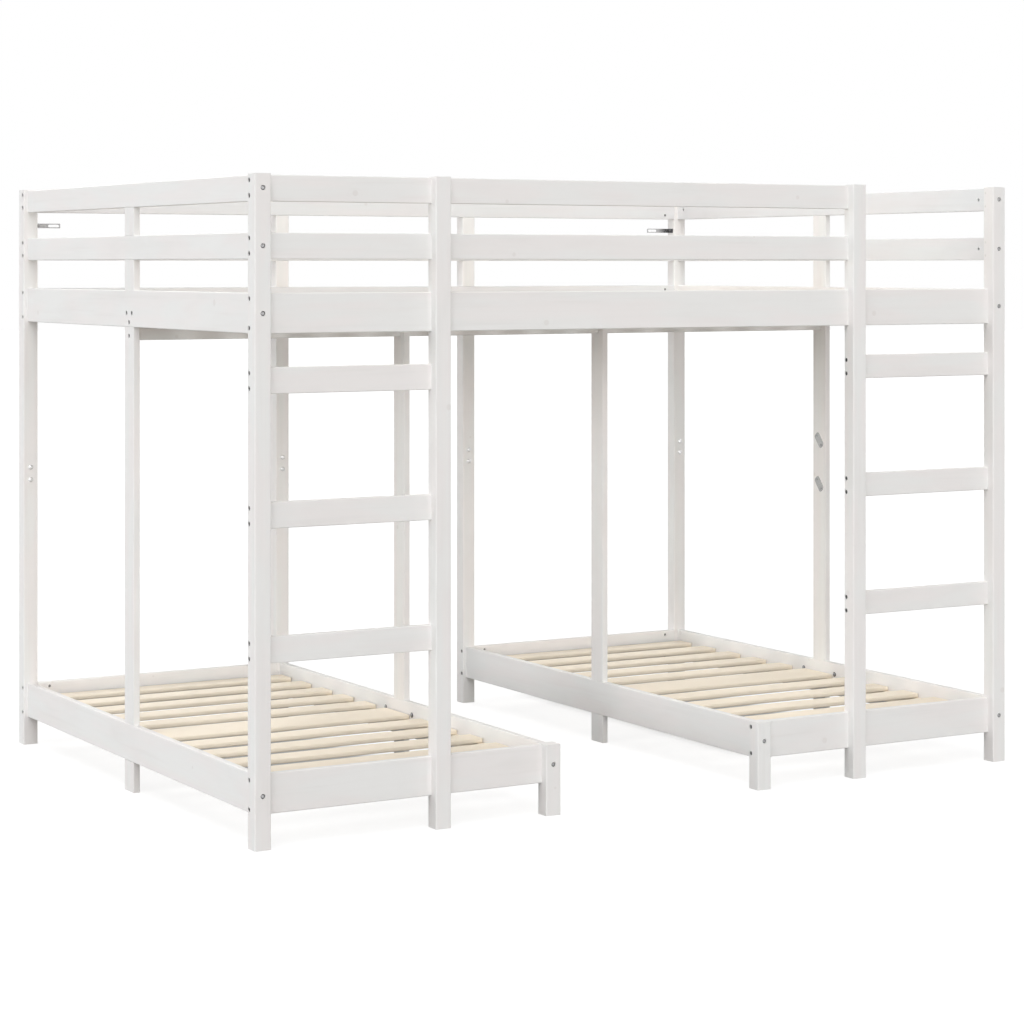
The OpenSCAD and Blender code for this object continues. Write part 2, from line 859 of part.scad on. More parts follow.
// An angled strip on the post, and a slotted strip riveted to it
module strap() {
    tab_l = rivet_reach + strap_w / 2;
    difference() {
        union() {
            translate([0, 0, -strap_w / 2]) cube([strap_t, strap_foot_l, strap_w]);
            translate([0, 0, -strap_w / 2]) cube([tab_l, strap_t, strap_w]);
        }
        strap_foot_site() rod(screw_d / 2 + rivet_gap, -over, strap_t + over);
        rivet_site() rod(screw_d / 2 + rivet_gap, -over, strip_l + over);
    }
    plate_x = strap_t + strip_gap;
    slot_x = strap_reach - slot_rim - slot_l;
    difference() {
        translate([plate_x, strap_t + strip_gap, -strap_w / 2])
            cube([strap_reach - plate_x, strap_t, strap_w]);
        rivet_site() rod(screw_d / 2 + rivet_gap, -over, strip_l + over);
        for (x = [slot_x + slot_w / 2, slot_x + slot_l - slot_w / 2])
            translate([x, strap_t - over, 0]) rotate([-90, 0, 0])
                cylinder(d = slot_w, h = strap_t + 2 * over);
        translate([slot_x + slot_w / 2, strap_t - over, -slot_w / 2])
            cube([slot_l - slot_w, strap_t + 2 * over, slot_w]);
    }
}

module wall_straps() {
    color(zinc) for (right = [false, true]) at_strap(right) strap();
}

// Caps over the guard bolt holes that the right-hand corner post doesn't need
module plugs() {
    color(white_plastic) at_post(true, 0, false) pair_sites(guards) {
        rod(head_d / 2, head_sink, head_floor);
        rod(bolt_d / 2, head_floor - join, head_floor + plug_stub);
        rod(plug_flange_d / 2, post_w, post_w + plug_flange_t);
        rod(bolt_d / 2, post_w - plug_stub, post_w + join);
    }
}

module dowels() {
    color(bare_pine) for (right = [false, true]) {
        for (outer = [false, true])
            at_plank(right, outer)
                for (z = foot_joints) dowel_sites(z) dowel();
        at_plank(right, true) for (z = stile_joints) dowel_sites(z) dowel();
    }
}

front_corner_post(false);  // post_front_left
ladder_post(false);  // ladder_post_left
front_leg(false);  // leg_front_left
front_leg(true);  // leg_front_right
ladder_post(true);  // ladder_post_right
front_corner_post(true);  // post_front_right
back_corner_post(false, false);  // post_back_left_lower
back_corner_post(false, true);  // post_back_left_upper
back_mid_post(false, false);  // post_mid_left_lower
back_mid_post(false, true);  // post_mid_left_upper
back_mid_post(true, false);  // post_mid_right_lower
back_mid_post(true, true);  // post_mid_right_upper
back_corner_post(true, false);  // post_back_right_lower
back_corner_post(true, true);  // post_back_right_upper
plank_lower(false);  // plank_outer_left_lower
plank_upper(false);  // plank_outer_left_upper
plank_inner(false);  // plank_inner_left
plank_inner(true);  // plank_inner_right
plank_lower(true);  // plank_outer_right_lower
plank_upper(true);  // plank_outer_right_upper
plank_feet();
guard_stiles();
bed_rail_front(false);  // left_bed_rail_front
bed_rail_back(false);  // left_bed_rail_back
bed_rail_side(false, true);  // left_bed_rail_outer
bed_rail_side(false, false);  // left_bed_rail_inner
bed_slats(false);  // left_bed_slats
bed_rail_front(true);  // right_bed_rail_front
bed_rail_back(true);  // right_bed_rail_back
bed_rail_side(true, true);  // right_bed_rail_outer
bed_rail_side(true, false);  // right_bed_rail_inner
bed_slats(true);  // right_bed_slats
deck_rail_front();
deck_rail_back();
deck_rail_side(false);  // deck_rail_left
deck_rail_side(true);  // deck_rail_right
deck_beam();
deck_slats();
bed_ledgers();
deck_ledgers();
guard_front(guard_lower);  // guard_front_lower
guard_front(guard_upper);  // guard_front_upper
guard_back(guard_lower);  // guard_back_lower
guard_back(guard_upper);  // guard_back_upper
guard_side(false, guard_lower);  // guard_left_lower
guard_side(false, guard_upper);  // guard_left_upper
guard_side(true, guard_lower);  // guard_right_lower
guard_side(true, guard_upper);  // guard_right_upper
rung(false, 0);  // rung_left_1
rung(false, 1);  // rung_left_2
rung(false, 2);  // rung_left_3
rung(true, 0);  // rung_right_1
rung(true, 1);  // rung_right_2
rung(true, 2);  // rung_right_3
bolts();
nuts();
screws();
plugs();
dowels();
wall_straps();
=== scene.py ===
"""Looks of a triple bunk bed of whitewashed pine, built on its packed frame.

Posts and boards keep their exact shape from the frame and get a painted pine finish.
Slats, ledgers, dowels, bolts, nuts, screws, caps and wall straps are worked out here as
surfaces and stand for the frame's plainer ones. Lengths are in metres.
"""

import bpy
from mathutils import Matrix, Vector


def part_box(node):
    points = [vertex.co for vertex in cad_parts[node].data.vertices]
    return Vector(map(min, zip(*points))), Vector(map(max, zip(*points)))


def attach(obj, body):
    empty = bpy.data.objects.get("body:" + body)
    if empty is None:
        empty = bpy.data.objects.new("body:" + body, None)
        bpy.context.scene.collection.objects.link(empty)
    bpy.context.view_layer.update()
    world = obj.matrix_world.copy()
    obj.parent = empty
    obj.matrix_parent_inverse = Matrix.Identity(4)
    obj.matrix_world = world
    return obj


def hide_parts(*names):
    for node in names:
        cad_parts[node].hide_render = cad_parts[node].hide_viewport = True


bl_info = {
    "name": "Triple Bunk Bed",
    "version": (1, 0, 0),
    "blender": (4, 5, 0),
    "location": "View3D > Sidebar > Bunk Bed",
    "description": "Paints a triple bunk bed's posts and boards and adds its slats and fittings",
    "category": "Object",
}

import math
import bmesh
import bpy
import numpy as np
from bpy.props import FloatProperty, FloatVectorProperty, PointerProperty

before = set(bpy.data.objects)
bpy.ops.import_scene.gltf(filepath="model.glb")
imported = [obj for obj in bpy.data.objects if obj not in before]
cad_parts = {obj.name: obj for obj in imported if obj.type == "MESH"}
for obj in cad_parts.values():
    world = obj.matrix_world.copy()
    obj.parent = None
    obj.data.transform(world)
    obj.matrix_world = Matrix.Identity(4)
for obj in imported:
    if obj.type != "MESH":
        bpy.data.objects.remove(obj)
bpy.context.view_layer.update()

BODY = "root"

# Lengths in metres
MERGE_GAP = 1e-6
END_REACH = 1e-4
SAME_RADIUS = 1e-5
BOLT_HEAD = 0.004
BOLT_SHANK = 0.003
BOLT_DOME = 0.0026
LONG_BOLT = 0.03
NUT_BORE = 0.00315
SCREW_SHANK = 0.002
SHORT_SCREW = 0.02
STRAP_THICK = 0.002
STRAP_CORNER = 0.0015
SMALL_CAP = 0.005
CAP_THICK, THIN_CAP = 0.004, 0.0008
WIDE_BOARD = 0.12
FLOOR_REACH, FLOOR_DROP = 60, 0.0005
# A bolt is domed where its radius is within this of the widest one's
DOMED_WITHIN = 0.0005
# A wall strap's slot: where it begins and ends, back from the strip's far end, and its width
STRAP_SLOT = (0.044, 0.004, 0.009)

# Steps round each corner of a board
CORNER_STEPS = 4
# Edges that turn by more than this are sharp
SHARP_TURN = math.radians(32)
# How far a lap plate's end bows out past its screw, as a share of half the plate's width
PLATE_END = 0.62
# Shares of the lap bolts' brighter zinc on the faces of the stop bolts and of the sunk bolts
# at the front, where it is a painted highlight
STOP_BOLT_HIGHLIGHT, FRONT_BOLT_HIGHLIGHT = 0.45, 0.5

# Painted parts by the direction of their grain
STANDING = (
    "post_front_left", "ladder_post_left", "leg_front_left",
    "leg_front_right", "ladder_post_right", "post_front_right",
    "post_back_left_lower", "post_back_left_upper",
    "post_mid_left_lower", "post_mid_left_upper",
    "post_mid_right_lower", "post_mid_right_upper",
    "post_back_right_lower", "post_back_right_upper",
    "plank_outer_left_lower", "plank_outer_left_upper", "plank_inner_left",
    "plank_inner_right", "plank_outer_right_lower", "plank_outer_right_upper",
    "plank_feet", "guard_stiles",
)
ACROSS = (
    "left_bed_rail_front", "left_bed_rail_back", "right_bed_rail_front", "right_bed_rail_back",
    "deck_rail_front", "deck_beam", "guard_front_lower", "guard_front_upper",
    "rung_left_1", "rung_left_2", "rung_left_3", "rung_right_1", "rung_right_2", "rung_right_3",
)
LENGTHWISE = (
    "left_bed_rail_outer", "left_bed_rail_inner", "right_bed_rail_outer", "right_bed_rail_inner",
    "deck_rail_left", "deck_rail_right",
    "guard_left_lower", "guard_left_upper",
)
# Boards whose whitewash is greyed all over by a painted shade, which stands in for shade
PAINTED_SHADE_ACROSS = ("deck_rail_back", "guard_back_lower", "guard_back_upper")
PAINTED_SHADE_LENGTHWISE = ("guard_right_lower", "guard_right_upper")


class BunkWoodSettings(bpy.types.PropertyGroup):
    """Colours and grain of the painted and the bare pine."""

    paint: FloatVectorProperty(
        name="Paint", description="Whitewash where it covers well",
        subtype="COLOR", min=0, max=1, default=(0.865, 0.866, 0.858))
    warm_paint: FloatVectorProperty(
        name="Warm Paint", description="Whitewash where it has yellowed a little",
        subtype="COLOR", min=0, max=1, default=(0.875, 0.853, 0.845))
    thin_paint: FloatVectorProperty(
        name="Thin Paint", description="Whitewash where the wood shows through a little",
        subtype="COLOR", min=0, max=1, default=(0.78, 0.762, 0.748))
    painted_knot: FloatVectorProperty(
        name="Painted Knot", description="A knot under the whitewash",
        subtype="COLOR", min=0, max=1, default=(0.70, 0.66, 0.635))
    # A painted shade: the tint that greys the whitewash on some guards and the back deck rail
    painted_shade_tint: FloatVectorProperty(
        name="Painted Shade Tint", description="What the whitewash is multiplied by on the greyer boards",
        subtype="COLOR", min=0, max=1, default=(0.915, 0.932, 0.955))
    pine: FloatVectorProperty(
        name="Pine", description="Bare pine between its growth rings",
        subtype="COLOR", min=0, max=1, default=(0.975, 0.908, 0.82))
    pine_ring: FloatVectorProperty(
        name="Growth Ring", description="Late wood of the bare pine's growth rings",
        subtype="COLOR", min=0, max=1, default=(0.84, 0.70, 0.51))
    end_grain: FloatVectorProperty(
        name="End Grain", description="Sawn ends of the bare pine",
        subtype="COLOR", min=0, max=1, default=(0.68, 0.50, 0.33))
    pine_knot: FloatVectorProperty(
        name="Knot", description="Knots in the bare pine",
        subtype="COLOR", min=0, max=1, default=(0.30, 0.15, 0.07))
    grain_depth: FloatProperty(
        name="Grain Depth", description="Height of the grain that shows through the paint",
        unit="LENGTH", min=0, max=0.001, default=0.00012, precision=5)
    ring_count: FloatProperty(
        name="Growth Rings", description="Growth rings in a hand's width of board",
        min=1, max=40, default=11)


class BunkBoardSettings(bpy.types.PropertyGroup):
    """Edges of the slats, ledgers and dowels."""

    slat_edge: FloatProperty(
        name="Slat Edge", description="Radius along the long edges of a slat",
        unit="LENGTH", min=0.0005, max=0.007, default=0.004, precision=4)
    ledger_edge: FloatProperty(
        name="Ledger Edge", description="Radius along the long edges of a ledger",
        unit="LENGTH", min=0.0005, max=0.007, default=0.0015, precision=4)
    end_ease: FloatProperty(
        name="End Ease", description="How far the edges of a sawn end are rubbed down",
        unit="LENGTH", min=0.0001, max=0.002, default=0.0006, precision=4)
    flute_depth: FloatProperty(
        name="Dowel Flutes", description="Depth of the flutes along a dowel",
        unit="LENGTH", min=0, max=0.001, default=0.0004, precision=4)


class BunkFittingSettings(bpy.types.PropertyGroup):
    """Details of the bolts, nuts, screws, caps and wall straps."""

    socket: FloatProperty(
        name="Socket", description="Width across the flats of a bolt's hexagon socket",
        unit="LENGTH", min=0.002, max=0.006, default=0.004, precision=4)
    socket_depth: FloatProperty(
        name="Socket Depth", description="Depth of a bolt's socket",
        unit="LENGTH", min=0.0005, max=0.003, default=0.0022, precision=4)
    head_bevel: FloatProperty(
        name="Head Bevel", description="Bevel round a flat bolt head",
        unit="LENGTH", min=0.0001, max=0.002, default=0.0008, precision=4)
    nut_slot: FloatProperty(
        name="Nut Slot", description="Width of the screwdriver slot in a barrel nut",
        unit="LENGTH", min=0.0005, max=0.003, default=0.0014, precision=4)
    recess: FloatProperty(
        name="Cross Recess", description="Width of a screw's cross recess, over its arms",
        unit="LENGTH", min=0.002, max=0.006, default=0.0044, precision=4)
    plate_width: FloatProperty(
        name="Plate Width", description="Width of the oval plates on the planks' half laps",
        unit="LENGTH", min=0.010, max=0.034, default=0.030, precision=4)
    plate_thick: FloatProperty(
        name="Plate Thickness", description="Thickness of the oval plates",
        unit="LENGTH", min=0.0003, max=0.002, default=0.0008, precision=4)
    plate: FloatVectorProperty(
        name="Plates", description="Dull steel of the oval plates",
        subtype="COLOR", min=0, max=1, default=(0.30, 0.30, 0.293))
    strap_bend: FloatProperty(
        name="Strap Bend", description="Inner radius of a wall strap's bend",
        unit="LENGTH", min=0.0002, max=0.004, default=0.0012, precision=4)
    zinc: FloatVectorProperty(
        name="Zinc", description="Zinc plated nuts and straps",
        subtype="COLOR", min=0, max=1, default=(0.34, 0.34, 0.343))
    # Its colour is also a painted highlight on the stop bolts and the sunk bolts at the front
    lap_bolt: FloatVectorProperty(
        name="Lap Bolts", description="Brighter zinc of the bolts through the posts' half laps",
        subtype="COLOR", min=0, max=1, default=(0.56, 0.56, 0.565))
    bolt_steel: FloatVectorProperty(
        name="Bolt Steel", description="Darker steel of the bolts in counterbores",
        subtype="COLOR", min=0, max=1, default=(0.11, 0.11, 0.113))
    # Also the painted shade on the right wall bracket
    dark_steel: FloatVectorProperty(
        name="Dark Steel", description="Blackened screws",
        subtype="COLOR", min=0, max=1, default=(0.10, 0.10, 0.105))
    cap: FloatVectorProperty(
        name="Caps", description="Plastic caps over unused bolt holes",
        subtype="COLOR", min=0, max=1, default=(0.80, 0.79, 0.77))


class BunkStageSettings(bpy.types.PropertyGroup):
    """Camera, lamps and floor."""

    camera_place: FloatVectorProperty(
        name="Camera", description="Where the camera stands",
        subtype="TRANSLATION", unit="LENGTH", default=(-4.4466, -7.9266, 1.6578))
    camera_turn: FloatProperty(
        name="Camera Turn",
        description="How far the level camera is turned to the right of the back",
        subtype="ANGLE", default=math.radians(30.524))
    lens: FloatProperty(
        name="Lens", description="Focal length in millimetres, for a sensor 36 mm wide",
        min=10, max=300, default=93.62)
    lens_shift: FloatVectorProperty(
        name="Lens Shift", description="Shift of the lens, as shares of the picture's width",
        size=2, default=(-0.0469, -0.2406))
    lamps: FloatProperty(
        name="Lamps", description="Strength of all the lamps together", min=0, max=5, default=1.0)
    sky: FloatProperty(
        name="Soft Light", description="Even light from all round", min=0, max=5, default=0.01)
    floor: FloatVectorProperty(
        name="Floor", description="Colour of the floor",
        subtype="COLOR", min=0, max=1, default=(0.30, 0.30, 0.30))
    floor_glow: FloatProperty(
        name="Floor Glow",
        description="Light that lifts the seen floor to the white of the background",
        min=0, max=2, default=0.82)
    # A painted shadow on the floor under the lower beds
    floor_shade: FloatProperty(
        name="Floor Shade", description="Share of the glow that is left out under a lower bed",
        subtype="FACTOR", min=0, max=1, default=0.72)


# Surfaces


def grid_quads(rows, columns):
    """Quads between neighbouring points of a grid whose last column meets its first."""
    i, j = np.meshgrid(np.arange(rows - 1), np.arange(columns), indexing="ij")
    k = (j + 1) % columns
    a, b = i * columns + j, i * columns + k
    return np.stack([a, b, b + columns, a + columns], -1).reshape(-1, 4)


def turned(profile, around):
    """A turned shape along +x, as points and quads.

    profile holds rows of (x, radius); around is the share of the radius at each angle, one
    number for each step round the axis, or one row of them for each row of the profile.
    A point is (x, radius share cos angle, radius share sin angle).
    """
    profile = np.asarray(profile, float)
    share = np.broadcast_to(around, (len(profile), np.shape(around)[-1]))
    angle = np.linspace(0, 2 * np.pi, share.shape[1], endpoint=False)
    radius = profile[:, 1:] * share
    x = np.broadcast_to(profile[:, :1], radius.shape)
    points = np.stack([x, radius * np.cos(angle), radius * np.sin(angle)], -1)
    return points.reshape(-1, 3), grid_quads(*radius.shape)


def rounded_ring(width, height, radius):
    """Points round a rectangle about the origin with round corners.

    Each corner is a quarter circle: the corner's centre plus radius times (cos, sin) of an
    angle that runs on from one corner to the next.
    """
    reach = [width / 2 - radius, height / 2 - radius]
    corner = np.array([[1, 1], [-1, 1], [-1, -1], [1, -1]]) * reach
    angle = np.linspace(0, np.pi / 2, CORNER_STEPS + 1) + np.arange(4)[:, None] * np.pi / 2
    arc = np.stack([np.cos(angle), np.sin(angle)], -1) * radius
    return (corner[:, None] + arc).reshape(-1, 2)


def eased_board(length, width, height, radius, ease):
    """A board along x about the origin: a rounded ring carried along its length.

    The first and last rings are drawn in by the ease, so that the sawn ends have no sharp edge.
    """
    ring = rounded_ring(width, height, radius)
    inner = rounded_ring(width - 2 * ease, height - 2 * ease, max(radius - ease, ease / 4))
    x = np.array([-length / 2, -length / 2 + ease, length / 2 - ease, length / 2])
    rings = np.stack([inner, ring, ring, inner])
    points = np.concatenate([np.broadcast_to(x[:, None, None], rings.shape[:2] + (1,)), rings], -1)
    n = len(ring)
    ends = [tuple(range(n)), tuple(range(3 * n, 4 * n))]
    return points.reshape(-1, 3), [tuple(q) for q in grid_quads(4, n).tolist()] + ends


def hexagon(steps):
    """Distance from the centre to a hexagon's side over that to its corner, at each angle."""
    angle = np.linspace(0, 2 * np.pi, steps, endpoint=False)
    return np.cos(np.pi / 6) / np.cos((angle + np.pi / 6) % (np.pi / 3) - np.pi / 6)


def solids_of(node):
    """The points of each solid of a frame node.

    Points at one place are merged, and each takes the lowest number found in its triangles
    until nothing changes; the points of a solid then share a number.
    """
    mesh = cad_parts[node].data
    mesh.calc_loop_triangles()
    place = np.empty(len(mesh.vertices) * 3, np.float32)
    corner = np.empty(len(mesh.loop_triangles) * 3, np.int32)
    mesh.vertices.foreach_get("co", place)
    mesh.loop_triangles.foreach_get("vertices", corner)
    points, merged = np.unique(np.round(place.reshape(-1, 3), 6), axis=0, return_inverse=True)
    triangle = merged.reshape(-1)[corner].reshape(-1, 3)
    number, last = np.arange(len(points)), None
    while last is None or (number != last).any():
        last = number.copy()
        lowest = number[triangle].min(1)
        np.minimum.at(number, triangle.ravel(), np.repeat(lowest, 3))
        number = number[number]
    return [points[number == n] for n in np.unique(number)]


def sites_of(node):
    """Where each round fitting of a frame node is.

    A site is (head's centre, direction into the wood, length, radius). A fitting's axis is
    the one across which its box is square, and its head is at the end where it is widest.
    """
    found = []
    for points in solids_of(node):
        low, high = points.min(0), points.max(0)
        size = high - low
        unlike = [abs(size[1] - size[2]), abs(size[0] - size[2]), abs(size[0] - size[1])]
        axis = int(np.argmin(unlike))
        middle = (low + high) / 2
        out = np.delete(points - middle, axis, 1)
        reach = np.hypot(*out.T)
        at_low = reach[points[:, axis] < low[axis] + END_REACH].max()
        at_high = reach[points[:, axis] > high[axis] - END_REACH].max()
        way = 1 if at_low >= at_high - SAME_RADIUS else -1
        head = middle.copy()
        head[axis] = low[axis] if way > 0 else high[axis]
        into = np.zeros(3)
        into[axis] = way
        found.append((head, into, size[axis], max(at_low, at_high)))
    return found


def put_at(sites, shape, rolls):
    """Copies of one shape, each turned so that its x runs into the wood and rolled about it."""
    points, quads = shape
    all_points, all_quads = [], []
    for i, ((head, into, _, _), roll) in enumerate(zip(sites, rolls)):
        side = np.roll(into, 1) * np.abs(into).sum()
        up = np.cross(into, side)
        y = np.cos(roll) * side + np.sin(roll) * up
        turn = np.stack([into, y, np.cross(into, y)])
        all_points.append(head + points @ turn)
        all_quads.append(np.asarray(quads) + i * len(points))
    return np.concatenate(all_points), np.concatenate(all_quads)


def together(shapes):
    """Several shapes as one list of points and one of faces."""
    points, faces, count = [], [], 0
    for p, f in shapes:
        points.append(np.asarray(p))
        faces += [tuple(int(k) + count for k in face) for face in f]
        count += len(p)
    return np.concatenate(points), faces


def make_piece(name, shape, material, nodes, grain=None, tone_and_painted_light=None):
    """Puts a shape into the scene as one piece that stands for frame nodes.

    grain holds each point's place in its own board, and tone_and_painted_light each point's share
    of the material's second colour: end grain and browner boards on the pine; on the metal the
    lap bolts' brighter zinc, a painted highlight on other bolts and a painted shade on one wall
    bracket.
    """
    points, faces = shape
    mesh = bpy.data.meshes.new(name)
    mesh.from_pydata(np.asarray(points).tolist(), [], [tuple(int(k) for k in f) for f in faces])
    if grain is not None:
        mesh.attributes.new("grain", "FLOAT_VECTOR", "POINT").data.foreach_set(
            "vector", np.asarray(grain, np.float32).ravel())
    if tone_and_painted_light is not None:
        mesh.attributes.new("tone_and_painted_light", "FLOAT", "POINT").data.foreach_set(
            "value", np.asarray(tone_and_painted_light, np.float32))
    work = bmesh.new()
    work.from_mesh(mesh)
    bmesh.ops.remove_doubles(work, verts=work.verts, dist=MERGE_GAP)
    bmesh.ops.dissolve_degenerate(work, edges=work.edges, dist=MERGE_GAP / 10)
    bmesh.ops.recalc_face_normals(work, faces=work.faces)
    for face in work.faces:
        face.smooth = True
    for edge in work.edges:
        edge.smooth = edge.is_manifold and edge.calc_face_angle(0) < SHARP_TURN
    work.to_mesh(mesh)
    work.free()
    mesh.materials.append(material)
    piece = bpy.data.objects.new(name, mesh)
    bpy.context.scene.collection.objects.link(piece)
    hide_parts(*nodes)
    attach(piece, BODY)
    return piece


# Finishes


class Graph:
    """Adds nodes to a material or world and joins them."""

    def __init__(self, tree):
        self.tree = tree
        tree.nodes.clear()

    def add(self, kind, values=None, **settings):
        """Adds a node, with its settings, and numbers or links for its inputs."""
        node = self.tree.nodes.new(kind)
        for key, value in settings.items():
            setattr(node, key, value)
        for key, value in (values or {}).items():
            if isinstance(value, bpy.types.NodeSocket):
                self.tree.links.new(value, node.inputs[key])
            else:
                node.inputs[key].default_value = value
        return node

    def sum(self, operation, *values):
        """The result of a Math node."""
        return self.add("ShaderNodeMath", dict(enumerate(values)), operation=operation).outputs[0]

    def vector(self, operation, *values):
        """The result of a Vector Math node."""
        node = self.add("ShaderNodeVectorMath", dict(enumerate(values)), operation=operation)
        return node.outputs["Value" if operation == "LENGTH" else "Vector"]

    def ramp(self, value, low, high, out_low=0.0, out_high=1.0):
        """A smooth step from out_low at low to out_high at high."""
        return self.add(
            "ShaderNodeMapRange",
            {"Value": value, "From Min": low, "From Max": high,
             "To Min": out_low, "To Max": out_high},
            interpolation_type="SMOOTHSTEP").outputs["Result"]

    def noise(self, vector, detail, roughness):
        """A cloudy number from 0 to 1."""
        values = {"Vector": vector, "Scale": 1.0, "Detail": detail, "Roughness": roughness}
        return self.add("ShaderNodeTexNoise", values).outputs["Fac"]

    def blend(self, share, first, second):
        """A colour between two others."""
        node = self.add("ShaderNodeMix", data_type="RGBA")
        sockets = node.inputs[0], node.inputs[6], node.inputs[7]
        for socket, value in zip(sockets, (share, first, second)):
            if isinstance(value, bpy.types.NodeSocket):
                self.tree.links.new(value, socket)
            else:
                socket.default_value = value
        return node.outputs[2]


def finish_material(name, **fixed):
    """A new material with its surface shader; fixed holds the shader's plain values."""
    material = bpy.data.materials.new(name)
    material.use_nodes = True
    graph = Graph(material.node_tree)
    values = {key.replace("_", " "): value for key, value in fixed.items()}
    shader = graph.add("ShaderNodeBsdfPrincipled", values)
    graph.add("ShaderNodeOutputMaterial", {"Surface": shader.outputs[0]})
    return material, graph, shader


def pine_figure(graph, point, rings):
    """Growth rings, fibres, clouds and knots of pine, from points in metres with x along the board.

    Knots are spheres round scattered points, with their true distance in metres. Growth
    rings are contour lines of a noise stretched along the board, raised round each knot, so
    that they pass round it.
    """
    spread = (3.1, 13.0, 13.0)
    scattered = graph.vector("MULTIPLY", point, spread)
    cells = graph.add("ShaderNodeTexVoronoi", {"Vector": scattered, "Scale": 1.0})
    centre = graph.vector("DIVIDE", cells.outputs["Position"], spread)
    away = graph.vector("LENGTH", graph.vector("SUBTRACT", point, centre))
    size = graph.add("ShaderNodeSeparateColor", {"Color": cells.outputs["Color"]}).outputs[0]
    radius = graph.sum("MULTIPLY_ADD", size, 0.008, 0.004)
    knot = graph.ramp(graph.sum("DIVIDE", away, radius), 0.7, 1.1, 1.0, 0.0)
    halo = graph.ramp(away, 0.0, 0.034, 1.0, 0.0)
    slow = graph.noise(graph.vector("MULTIPLY", point, (0.9, 12.0, 12.0)), 1.5, 0.4)
    fibre = graph.noise(graph.vector("MULTIPLY", point, (9.0, 620.0, 620.0)), 3.0, 0.6)
    level = graph.sum("MULTIPLY_ADD", slow, rings, graph.sum("MULTIPLY", halo, 1.6))
    level = graph.sum("MULTIPLY_ADD", fibre, 0.12, level)
    wave = graph.sum("SINE", graph.sum("MULTIPLY", level, 2 * math.pi))
    ring = graph.sum("POWER", graph.sum("MULTIPLY_ADD", wave, 0.5, 0.5), 2.6)
    cloud = graph.noise(graph.vector("MULTIPLY", point, (2.3, 10.0, 10.0)), 3.0, 0.55)
    return {"ring": ring, "fibre": fibre, "cloud": cloud, "knot": knot, "halo": halo}


def grain_bump(graph, figure, ring_share, distance, strength):
    """Raises the late wood by its share of the distance and the fibres by the rest."""
    fibres = graph.sum("MULTIPLY", figure["fibre"], 1 - ring_share)
    height = graph.sum("MULTIPLY_ADD", figure["ring"], ring_share, fibres)
    values = {"Height": height, "Distance": distance, "Strength": strength}
    return graph.add("ShaderNodeBump", values).outputs[0]


def join(graph, shader, colour, rough, normal):
    """Joins a surface's colour, roughness and bump to its shader."""
    graph.tree.links.new(colour, shader.inputs["Base Color"])
    graph.tree.links.new(rough, shader.inputs["Roughness"])
    graph.tree.links.new(normal, shader.inputs["Normal"])


def painted_pine(name, order, wood, shade_tint):
    """Whitewashed pine whose grain runs along one axis; order lists the axes from it on.

    The wash thins out in clouds and over the late wood, and knots show through it; shade_tint
    multiplies the colour, and where it isn't white it is a painted shade over the whole board.
    """
    material, graph, shader = finish_material(name, Specular_IOR_Level=0.18)
    place = graph.add("ShaderNodeTexCoord").outputs["Object"]
    split = graph.add("ShaderNodeSeparateXYZ", {"Vector": place})
    ordered = {i: split.outputs[axis] for i, axis in enumerate(order)}
    point = graph.add("ShaderNodeCombineXYZ", ordered).outputs[0]
    figure = pine_figure(graph, point, wood.ring_count)
    smoke = graph.noise(graph.vector("MULTIPLY", point, (1.4, 38.0, 38.0)), 3.0, 0.6)
    thin = graph.sum("MULTIPLY", graph.ramp(figure["cloud"], 0.50, 0.78), 0.30)
    thin = graph.sum("MULTIPLY_ADD", graph.ramp(smoke, 0.52, 0.80), 0.34, thin)
    thin = graph.sum("MULTIPLY_ADD", figure["ring"], 0.05, thin)
    thin = graph.sum("MULTIPLY_ADD", figure["fibre"], 0.05, thin)
    tint = graph.noise(graph.vector("MULTIPLY", point, (3.5, 17.0, 17.0)), 1.0, 0.5)
    colour = graph.blend(graph.ramp(tint, 0.36, 0.64), (*wood.warm_paint, 1), (*wood.paint, 1))
    colour = graph.blend(thin, colour, (*wood.thin_paint, 1))
    knotty = graph.sum("MULTIPLY", figure["knot"], 0.30)
    colour = graph.blend(knotty, colour, (*wood.painted_knot, 1))
    # Painted shade where shade_tint isn't white
    colour = graph.vector("MULTIPLY", colour, shade_tint)
    normal = grain_bump(graph, figure, 0.5, wood.grain_depth, 0.6)
    rough = graph.sum("MULTIPLY_ADD", figure["cloud"], 0.22, 0.50)
    join(graph, shader, colour, rough, normal)
    return material


def bare_pine(wood):
    """Unpainted pine whose grain follows each board's own coordinates.

    Points whose "tone_and_painted_light" number is 1 are end grain, and less of it browns a
    board a little.
    """
    material, graph, shader = finish_material("bare_pine", Specular_IOR_Level=0.3)
    point = graph.add("ShaderNodeAttribute", attribute_name="grain").outputs["Vector"]
    figure = pine_figure(graph, point, wood.ring_count)
    late = graph.sum("MULTIPLY", figure["ring"], 0.33)
    colour = graph.blend(late, (*wood.pine, 1), (*wood.pine_ring, 1))
    tone = graph.noise(graph.vector("MULTIPLY", point, (0.25, 0.25, 0.25)), 0.0, 0.5)
    browner = graph.sum("MULTIPLY_ADD", graph.ramp(tone, 0.45, 0.70), 0.13,
                        graph.sum("MULTIPLY", graph.ramp(figure["cloud"], 0.35, 0.75), 0.16))
    colour = graph.blend(browner, colour, (*wood.pine_ring, 1))
    fibres = graph.sum("MULTIPLY", figure["fibre"], 0.12)
    colour = graph.blend(fibres, colour, (*wood.pine_ring, 1))
    knotty = graph.sum("MULTIPLY", figure["knot"], 0.8)
    colour = graph.blend(knotty, colour, (*wood.pine_knot, 1))
    browned = graph.add("ShaderNodeAttribute", attribute_name="tone_and_painted_light").outputs["Fac"]
    colour = graph.blend(browned, colour, (*wood.end_grain, 1))
    normal = grain_bump(graph, figure, 0.35, 2 * wood.grain_depth, 0.7)
    rough = graph.sum("MULTIPLY_ADD", figure["cloud"], 0.2, 0.5)
    join(graph, shader, colour, rough, normal)
    return material


